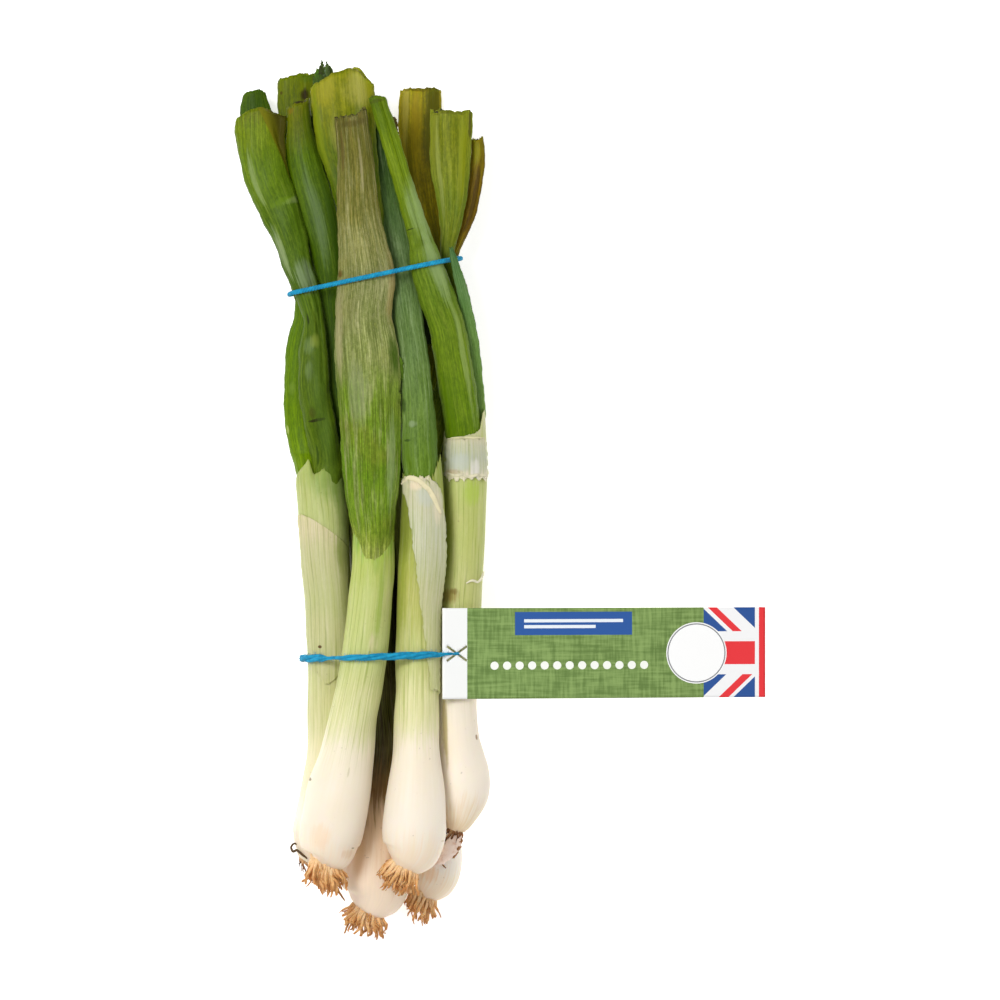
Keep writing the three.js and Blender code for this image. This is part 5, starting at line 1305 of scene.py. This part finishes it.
# Rolls: edges of skin that have curled over, along spots on a shaft
rolls = {
    "foldC": {"on": "c", "wide": 0.75, "thick": 0.25, "code": "#ddd3ac", "slot": "shaft",
        "spots": [(4.2, 4.8), (6.3, 6.6), (9.0, 5.7), (11.7, 3.0), (13.5, -0.3), (15.0, -4.2)]},
    "hemD": {"on": "d", "wide": 0.45, "thick": 0.15, "code": "#dfd8b8", "slot": "shaft",
        "spots": [(17.6, 8.0), (19.6, 7.1), (21.9, 7.4), (23.6, 6.7), (26.0, 7.2), (28.4, 7.0)]},
    "tearD": {"on": "d", "wide": 0.35, "thick": 0.2, "code": "#e4dfc2", "slot": "shaft",
        "spots": [(22.8, -24.9), (24.6, -24.0), (26.1, -24.3), (27.2, -22.8), (27.8, -21.0)]},
    "hemTopD": {"on": "d", "wide": 0.35, "thick": 0.3, "code": "#d8d2a6", "slot": "shaft",
        "spots": [(17.7, 18.0), (20.1, 18.9), (22.8, 19.2), (25.5, 18.9), (27.9, 20.4)]},
}

# Strands that stand apart: x, y, z and half sizes
strands = {
    "curlA": {"code": "#5a4630", "slot": "roots",
        "spots": [(-24.6, -107.1, 10.4, 0.3, 0.3), (-26.1, -105.9, 10.8, 0.35, 0.35),
                  (-27.6, -104.7, 10.4, 0.4, 0.4),
                  (-28.8, -105.0, 9.8, 0.4, 0.4), (-29.4, -103.8, 9.6, 0.35, 0.35),
                  (-28.5, -102.6, 9.8, 0.3, 0.3),
                  (-27.3, -103.2, 10.0, 0.2, 0.2)]},
    "strandD": {"code": "#8a5c34", "slot": "roots",
        "spots": [(16.8, -105.6, 16.0, 0.3, 0.3), (15.9, -107.1, 15.6, 0.3, 0.3),
                  (15.9, -108.6, 15.0, 0.25, 0.25), (16.8, -109.8, 14.4, 0.15, 0.15)]},
    "strandB": {"code": "#b0793c", "slot": "roots",
        "spots": [(-18.0, -111.0, 25.4, 0.4, 0.4), (-16.2, -114.0, 24.8, 0.4, 0.4),
                  (-14.7, -116.7, 23.6, 0.35, 0.35), (-13.2, -119.1, 22.4, 0.2, 0.2)]},
    "strandE": {"code": "#b0793c", "slot": "roots",
        "spots": [(-11.4, -124.5, 10.0, 0.4, 0.4), (-12.6, -127.2, 9.0, 0.35, 0.35),
                  (-13.5, -129.6, 7.6, 0.25, 0.25)]},
}


def makeCord(name, stations, code, seed):
    limb = makeLimb(stations)
    v = np.linspace(0, 1, 50)[:, None]
    angle = (2 * math.pi * np.arange(14) / 14)[None, :]
    lift = 0.1 * np.sin(17 * v + angle + seed) + 0.08 * np.sin(31 * v - angle)
    rings = limbPoints(limb, v, angle, lift * np.interp(v, limb["v"], limb["data"][:, 3]))
    shade = "#" + "".join("%02x" % int(int(code[k:k + 2], 16) * 0.85) for k in (1, 3, 5))
    material = dryMaterial("cord_" + name, code, shade)
    piece = ringPiece("cord_" + name, rings, list(v[:, 0]), [material])
    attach(piece, "root")


for name, skin in skins.items():
    makeSkin(name, skin)
for order, (name, scrap) in enumerate(scraps.items()):
    makeScrap(name, scrap, order)
for order, (name, roll) in enumerate(rolls.items()):
    limb = shaftLimbs[roll["on"]]
    stations = []
    for number, (x, y) in enumerate(roll["spots"]):
        v, angle = skinPlace(limb, x, y)
        spot = limbPoints(limb, v, angle, 0.5)
        size = 0.5 if number in (0, len(roll["spots"]) - 1) else 1.0
        stations.append((*(float(k) for k in spot), roll["wide"] * size, roll["thick"] * size))
    makeCord(name, stations, roll["code"], order)
for order, (name, strand) in enumerate(strands.items()):
    makeCord(name, strand["spots"], strand["code"], order)
print("loose skins made:", len(skins) + len(scraps) + len(rolls) + len(strands))

# Bands: a tight loop round what they tie, of three strands twisted together

bands = {
    "upper": {"middle": 67.6, "slope": 0.21, "radius": 0.8, "thinFrom": 999, "thinRadius": 0.8, "twists": 46,
              "fuzz": 0, "strand": 0.5, "offset": 0.42},
    "lower": {"middle": -46.3, "slope": 0.035, "radius": 1.2, "thinFrom": 15.5, "thinRadius": 0.6, "twists": 6,
              "fuzz": 1300, "strand": 0.5, "offset": 0.45,
              "widths": [(-26, 1.0), (-20, 1.15), (-18.5, 0.5), (-15.5, 0.5), (-12, 0.85), (0, 1.0), (9, 1.12),
                         (14, 0.8)]},
}
bandGap = 0.2
cardHeight = 16


def bandCrossings(limbs, band):
    found = []
    v = np.linspace(0, 1, 260)[:, None]
    angle = (2 * math.pi * np.arange(28) / 28)[None, :]
    for limb in limbs:
        points = limbPoints(limb, v, angle)
        off = points[..., 1] - band["middle"] - band["slope"] * points[..., 0]
        for i, j in zip(*np.nonzero((off[:-1] < 0) != (off[1:] < 0))):
            part = off[i, j] / (off[i, j] - off[i + 1, j])
            hit = points[i, j] + (points[i + 1, j] - points[i, j]) * part
            found.append((hit[0], max(hit[2], 0.0)))
    return found


def tightOutline(points):
    def half(ordered):
        chain = []
        for p in ordered:
            while len(chain) > 1:
                a, b = chain[-2], chain[-1]
                if (b[0] - a[0]) * (p[1] - a[1]) - (b[1] - a[1]) * (p[0] - a[0]) > 0:
                    break
                chain.pop()
            chain.append(p)
        return chain[:-1]
    ordered = sorted(points)
    return half(ordered) + half(ordered[::-1])


def bandLoop(limbs, band):
    reach = band["radius"] + bandGap
    turn = 2 * math.pi * np.arange(24) / 24
    spaced = []
    for x, z in tightOutline(bandCrossings(limbs, band)):
        spaced += [(x + reach * c, z + reach * s) for c, s in zip(np.cos(turn), np.sin(turn))]
    outline = np.array(tightOutline(spaced))
    closed = np.vstack([outline, outline[:1]])
    along = np.concatenate([[0.0], np.cumsum(np.linalg.norm(np.diff(closed, axis=0), axis=1))])
    steps = np.linspace(0, along[-1], 361)[:-1]
    return np.stack([np.interp(steps, along, closed[:, k]) for k in (0, 1)], axis=1)


# Three thin tubes that wind round the loop, and short hairs on them
def makeBandTree():
    tree, given, gout = newTree("twistedBand", [
        ("Twists", "Float"), ("Strand Radius", "Float"), ("Strand Offset", "Float"), ("Facing", "Vector"),
        ("Fuzz Density", "Float"), ("Fuzz Length", "Float"),
    ])
    curve = addNode(tree, "GeometryNodeMeshToCurve", [("Mesh", given["Geometry"])])
    fine = addNode(tree, "GeometryNodeResampleCurve", [("Curve", curve), ("Count", 900)])
    factor = out(addNode(tree, "GeometryNodeSplineParameter"), "Factor")
    thin = namedValue(tree, "thin")
    outward = out(addNode(tree, "GeometryNodeInputTangent")).vector("CROSS_PRODUCT", given["Facing"])
    tubes = []
    for phase in (0.0, 2.0944, 4.1888):
        turn = factor * given["Twists"] * 6.28319 + phase
        away = thin * given["Strand Offset"]
        side = outward.vector("SCALE", turn.math("COSINE") * away)
        front = given["Facing"].vector("SCALE", turn.math("SINE") * away)
        offset = side.vector("ADD", front)
        moved = addNode(tree, "GeometryNodeSetPosition", [("Geometry", fine), ("Offset", offset)])
        tubes.append((0, tubeNode(tree, moved, 8, 1.0, ("Scale", thin * given["Strand Radius"]))))
    joined = addNode(tree, "GeometryNodeJoinGeometry", tubes)
    smooth = addNode(tree, "GeometryNodeSetShadeSmooth", [("Geometry", joined)])
    scatter = addNode(tree, "GeometryNodeDistributePointsOnFaces", [
        ("Mesh", smooth), ("Density", given["Fuzz Density"]), ("Seed", 9),
    ])
    hair = tubeNode(tree, lineNode(tree, (0, 0, 0), (0.25, 0, 1), 4), 3, 0.045)
    wild = randomNode(tree, (-1.0, -1.0, -1.0), (1.0, 1.0, 1.0), 4)
    direction = out(scatter, "Normal").vector("ADD", wild)
    fuzz = standOn(tree, scatter, hair, direction, randomNode(tree, 0.4, 1.3, 6) * given["Fuzz Length"])
    return finishTree(tree, given, gout, [fuzz, smooth])


def bandMaterial():
    material, tree, shader = startMaterial("bandThread", Roughness=0.7, Specular_IOR_Level=0.25)
    place = objectPlace(tree)
    tone = rangeNode(tree, noiseNode(tree, place, 700.0, 3.0), 0.3, 0.7)
    feed(shader.inputs["Base Color"], mixNode(tree, tone, hexColour("#0c7fa8"), hexColour("#1a9cc4")))
    feed(shader.inputs["Normal"], bumpNormal(tree, noiseNode(tree, place, 5200.0, 2.0), 0.4, 0.0002))
    return material


bandTree = makeBandTree()
bandThread = bandMaterial()


def makeBand(name, limbs):
    band = bands[name]
    loop = bandLoop(limbs, band)
    places = np.stack([loop[:, 0], band["middle"] + band["slope"] * loop[:, 0], loop[:, 1]], axis=1)
    mesh = bpy.data.meshes.new("band_" + name)
    count = len(places)
    mesh.from_pydata([tuple(p) for p in toMetres(places)], [(i, (i + 1) % count) for i in range(count)], [])
    inCard = (loop[:, 0] > band["thinFrom"]) & (loop[:, 1] > cardHeight)
    sizes = np.where(inCard, band["thinRadius"], band["radius"])
    if "widths" in band:
        sizes = np.where(loop[:, 1] > cardHeight, sizes * np.interp(loop[:, 0], *zip(*band["widths"])), sizes)
    spread = np.array([np.mean(np.take(sizes, range(i - 3, i + 4), mode="wrap")) for i in range(count)])
    mesh.attributes.new("thin", "FLOAT", "POINT").data.foreach_set("value", spread / 1000)
    piece = addObject("band_" + name, mesh)
    facing = Vector((-band["slope"], 1, 0)).normalized()
    length = sum((Vector(a) - Vector(b)).length for a, b in zip(places, np.roll(places, 1, axis=0)))
    area = length * band["radius"] * 6.28 * 1.5e-6
    applyTree(piece, bandTree, {
        "Twists": float(band["twists"]), "Strand Radius": band["strand"], "Strand Offset": band["offset"],
        "Facing": tuple(facing), "Fuzz Density": band["fuzz"] / area, "Fuzz Length": 0.0008,
        "Material": bandThread,
    })
    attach(piece, "root")
    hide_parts("band_" + name)


tiedAbove = [limb for name, limb in leafLimbs.items() if name != "d_leaf_2"]
makeBand("upper", tiedAbove)
makeBand("lower", list(shaftLimbs.values()))
print("bands made")

# The card tag leans from over the lower band at its slits down to the surface at its far end

slit = {"x": 20.1, "y": -45.6, "length": 7.6, "width": 0.7, "angle": 0.62}
cardPrint = {
    # places on the printed side, as parts of its length and height
    "whiteTo": 0.0756, "flagFrom": 0.807, "edgeWhiteFrom": 0.9676, "edgeRedFrom": 0.98,
    "discAt": (0.7843, 0.4944), "discRadius": 0.0944, "aspect": 90 / 324,
    "steps": (324.0, 90.0), "dotsPerLength": 26.0,
}


def boxMask(across, up, left, right, low, high):
    return (across > left) * (across < right) * ((up > low) * (up < high))


def awayFrom(x, y):
    return (x * x + y * y).math("SQRT")


def cardMaterial():
    material, tree, shader = startMaterial("cardPrint", Roughness=0.5)
    across, up = uvPlace(tree)

    def weave(acrossScale, upScale, seed, detail):
        return noiseNode(tree, joinPlace(tree, across * acrossScale, up * upScale, seed), 1.0, detail)

    def paint(mask, under, code):
        return mixNode(tree, mask, under, hexColour(code))

    # the woven ground: fine threads both ways with soft patches
    threads = (weave(120.0, 3.0, 1.0, 2.0) + weave(9.0, 32.0, 2.0, 2.0)) * 0.5
    tone = threads * 0.75 + weave(14.0, 5.0, 5.0, 3.0) * 0.25
    ground = paint(rangeNode(tree, tone, 0.38, 0.62), hexColour("#5b7930"), "#86a358")
    colour = paint(across < cardPrint["whiteTo"], ground, "#f1f2f0")
    # a plain blue panel with square corners and two pale bars
    colour = paint(boxMask(across, up, 0.222, 0.583, 0.7, 0.955), colour, "#10509c")
    for low, high, left, right in ((0.84, 0.875, 0.25, 0.555), (0.775, 0.81, 0.25, 0.47)):
        colour = paint(boxMask(across, up, left, right, low, high), colour, "#e8eef4")
    # a row of equal white dots
    cell = ((across - 0.14) * cardPrint["dotsPerLength"]).math("FRACT")
    dotX = (cell - 0.5) * (1 / cardPrint["dotsPerLength"])
    dotY = (up - 0.365) * cardPrint["aspect"]
    dots = (awayFrom(dotX, dotY) < 0.0125) * boxMask(across, up, 0.14, 0.64, 0.2, 0.5)
    colour = paint(dots, colour, "#f4f6ee")
    # the striped flag pattern at the right end, in steps of a fixed size on the card
    stepX = (across - cardPrint["flagFrom"]) * cardPrint["steps"][0]
    stepTop = (1.0 - up) * cardPrint["steps"][1]
    stepLow = up * cardPrint["steps"][1]
    red, white = "#e8252e", "#f4f4f4"
    flag = hexColour("#0f4a94")
    upperHalf = up > 0.5
    halves = [(stepTop, 4.0, 13.2, upperHalf), (stepLow, 15.0, 25.0, 1.0 - upperHalf)]
    for height, redFrom, redTo, half in halves:
        slant = stepX - height * 1.06
        for low, high, code in ((-1.6, 30.0, white), (redFrom, redTo, red)):
            flag = paint((slant > low) * (slant < high) * half, flag, code)
    flag = paint(boxMask(across, up, 0.0, 1.0, 0.256, 0.733), flag, white)
    flag = paint(boxMask(across, up, 0.0, 1.0, 0.367, 0.622), flag, red)
    flag = paint(across > cardPrint["edgeWhiteFrom"], flag, white)
    flag = paint(across > cardPrint["edgeRedFrom"], flag, red)
    colour = mixNode(tree, across > cardPrint["flagFrom"], colour, flag)
    # a bare white disc with a thin grey ring
    discX, discY = cardPrint["discAt"]
    away = awayFrom(across - discX, (up - discY) * cardPrint["aspect"])
    colour = paint(away < cardPrint["discRadius"], colour, "#fbfbfa")
    colour = paint((away < 0.091) * (away > 0.0875), colour, "#77797c")
    feed(shader.inputs["Base Color"], colour)
    grit = noiseNode(tree, joinPlace(tree, across, up, 0.0), 160.0, 2.0)
    feed(shader.inputs["Normal"], bumpNormal(tree, grit, 0.05, 0.0001))
    return material


def paperMaterial():
    material, tree, shader = startMaterial("cardPaper", Roughness=0.7)
    tone = rangeNode(tree, noiseNode(tree, objectPlace(tree), 300.0), 0.3, 0.7, 0.0, 0.12)
    feed(shader.inputs["Base Color"], mixNode(tree, tone, hexColour("#eceae2"), hexColour("#8a8a80")))
    return material


def makeTag():
    thick = tagSize["thick"]
    width = tagSize["right"] - tagSize["left"]
    tilt = math.atan((tagHigh[2] * 1000 - thick) / width)
    along = np.array([math.cos(tilt), 0, -math.sin(tilt)])
    normal = np.array([math.sin(tilt), 0, math.cos(tilt)])
    length = width / math.cos(tilt)
    start = np.array([tagSize["right"], tagSize["bottom"], 0.0]) - along * length
    us = np.linspace(0, 1, 121)
    vs = np.linspace(0, 1, 35)
    height = tagSize["top"] - tagSize["bottom"]
    # a slight arch between the band and the surface, as stiff paper takes
    arch = 0.55 * np.sin(math.pi * us[None, :]) ** 2 * np.ones((35, 1))
    base = start + us[None, :, None] * length * along + vs[:, None, None] * np.array([0, height, 0])
    under = base + arch[..., None] * normal
    top = under + thick * normal
    faces = [cardMaterial(), paperMaterial()]
    piece = sheetPiece("tagCard", top[:, ::-1], under[:, ::-1], vs[:, None], us[::-1], faces, 1)
    cutters = []
    cutterHalf = 3
    slitHeight = slit["y"] - tagSize["bottom"]
    reachAlong = (slit["x"] - tagSize["left"]) / math.cos(tilt)
    for angle in (slit["angle"], -slit["angle"]):
        corner = []
        for a in (-1, 1):
            for b in (-1, 1):
                for c in (-1, 1):
                    x = a * slit["length"] / 2 * math.cos(angle) - b * slit["width"] / 2 * math.sin(angle)
                    y = a * slit["length"] / 2 * math.sin(angle) + b * slit["width"] / 2 * math.cos(angle)
                    middle = start + along * (reachAlong + x) + np.array([0, slitHeight + y, 0])
                    corner.append(middle + normal * (cutterHalf * c))
        faces = [(0, 1, 3, 2), (4, 6, 7, 5), (0, 4, 5, 1), (2, 3, 7, 6), (0, 2, 6, 4), (1, 5, 7, 3)]
        mesh = bpy.data.meshes.new("cutter")
        mesh.from_pydata([tuple(p) for p in (np.array(corner) + [shiftX, shiftY, 0]) / 1000], [], faces)
        cutter = addObject("cutter", mesh)
        cutters.append(cutter)
        modifier = piece.modifiers.new("slit", "BOOLEAN")
        modifier.operation = "DIFFERENCE"
        modifier.solver = "EXACT"
        modifier.object = cutter
    depsgraph = bpy.context.evaluated_depsgraph_get()
    piece.data = bpy.data.meshes.new_from_object(piece.evaluated_get(depsgraph), depsgraph=depsgraph)
    piece.modifiers.clear()
    for cutter in cutters:
        bpy.data.objects.remove(cutter)
    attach(piece, "root")
    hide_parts("tag")


makeTag()
print("tag made")

# Floor, light and camera

floorMesh = bpy.data.meshes.new("floor")
floorSize = 4.0
floorLevel = -0.0004
corners = [(x * floorSize, y * floorSize, floorLevel) for x, y in ((-1, -1), (1, -1), (1, 1), (-1, 1))]
floorMesh.from_pydata(corners, [], [(0, 1, 2, 3)])
floor = addObject("floor", floorMesh)
floorWhite = startMaterial(
    "floorWhite", Base_Color=(0.93, 0.93, 0.93, 1), Roughness=0.9,
    Emission_Color=(1, 1, 1, 1), Emission_Strength=0.6,
)
floorMesh.materials.append(floorWhite[0])

world = bpy.data.worlds.new("studio")
world.use_nodes = True
world.node_tree.nodes["Background"].inputs["Color"].default_value = (1, 1, 1, 1)
world.node_tree.nodes["Background"].inputs["Strength"].default_value = 0.46
bpy.context.scene.world = world


def areaLight(name, place, aim, size, energy):
    data = bpy.data.lights.new(name, "AREA")
    data.size = size
    data.energy = energy
    light = addObject(name, data)
    light.location = place
    light.rotation_euler = (Vector(aim) - Vector(place)).to_track_quat("-Z", "Y").to_euler()


areaLight("keyLight", (-0.45, 0.3, 0.95), (0, 0, 0), 0.4, 7.9)
areaLight("fillLight", (0.7, -0.5, 1.2), (0, 0, 0), 0.9, 3.4)

# the photo's middle, in the bunch's own millimetres, seen from high up through a long lens
photoMiddle = (33.0, 0.0)
view = {"lens": 300, "sensor": 36, "height": 2.5, "far": 20}
cameraData = bpy.data.cameras.new("camera")
cameraData.lens = view["lens"]
cameraData.sensor_width = view["sensor"]
cameraData.clip_end = view["far"]
camera = addObject("camera", cameraData)
camera.location = ((photoMiddle[0] + shiftX) / 1000, (photoMiddle[1] + shiftY) / 1000, view["height"])
bpy.context.scene.camera = camera
bpy.context.scene.view_settings.view_transform = "Standard"
print("stage made")
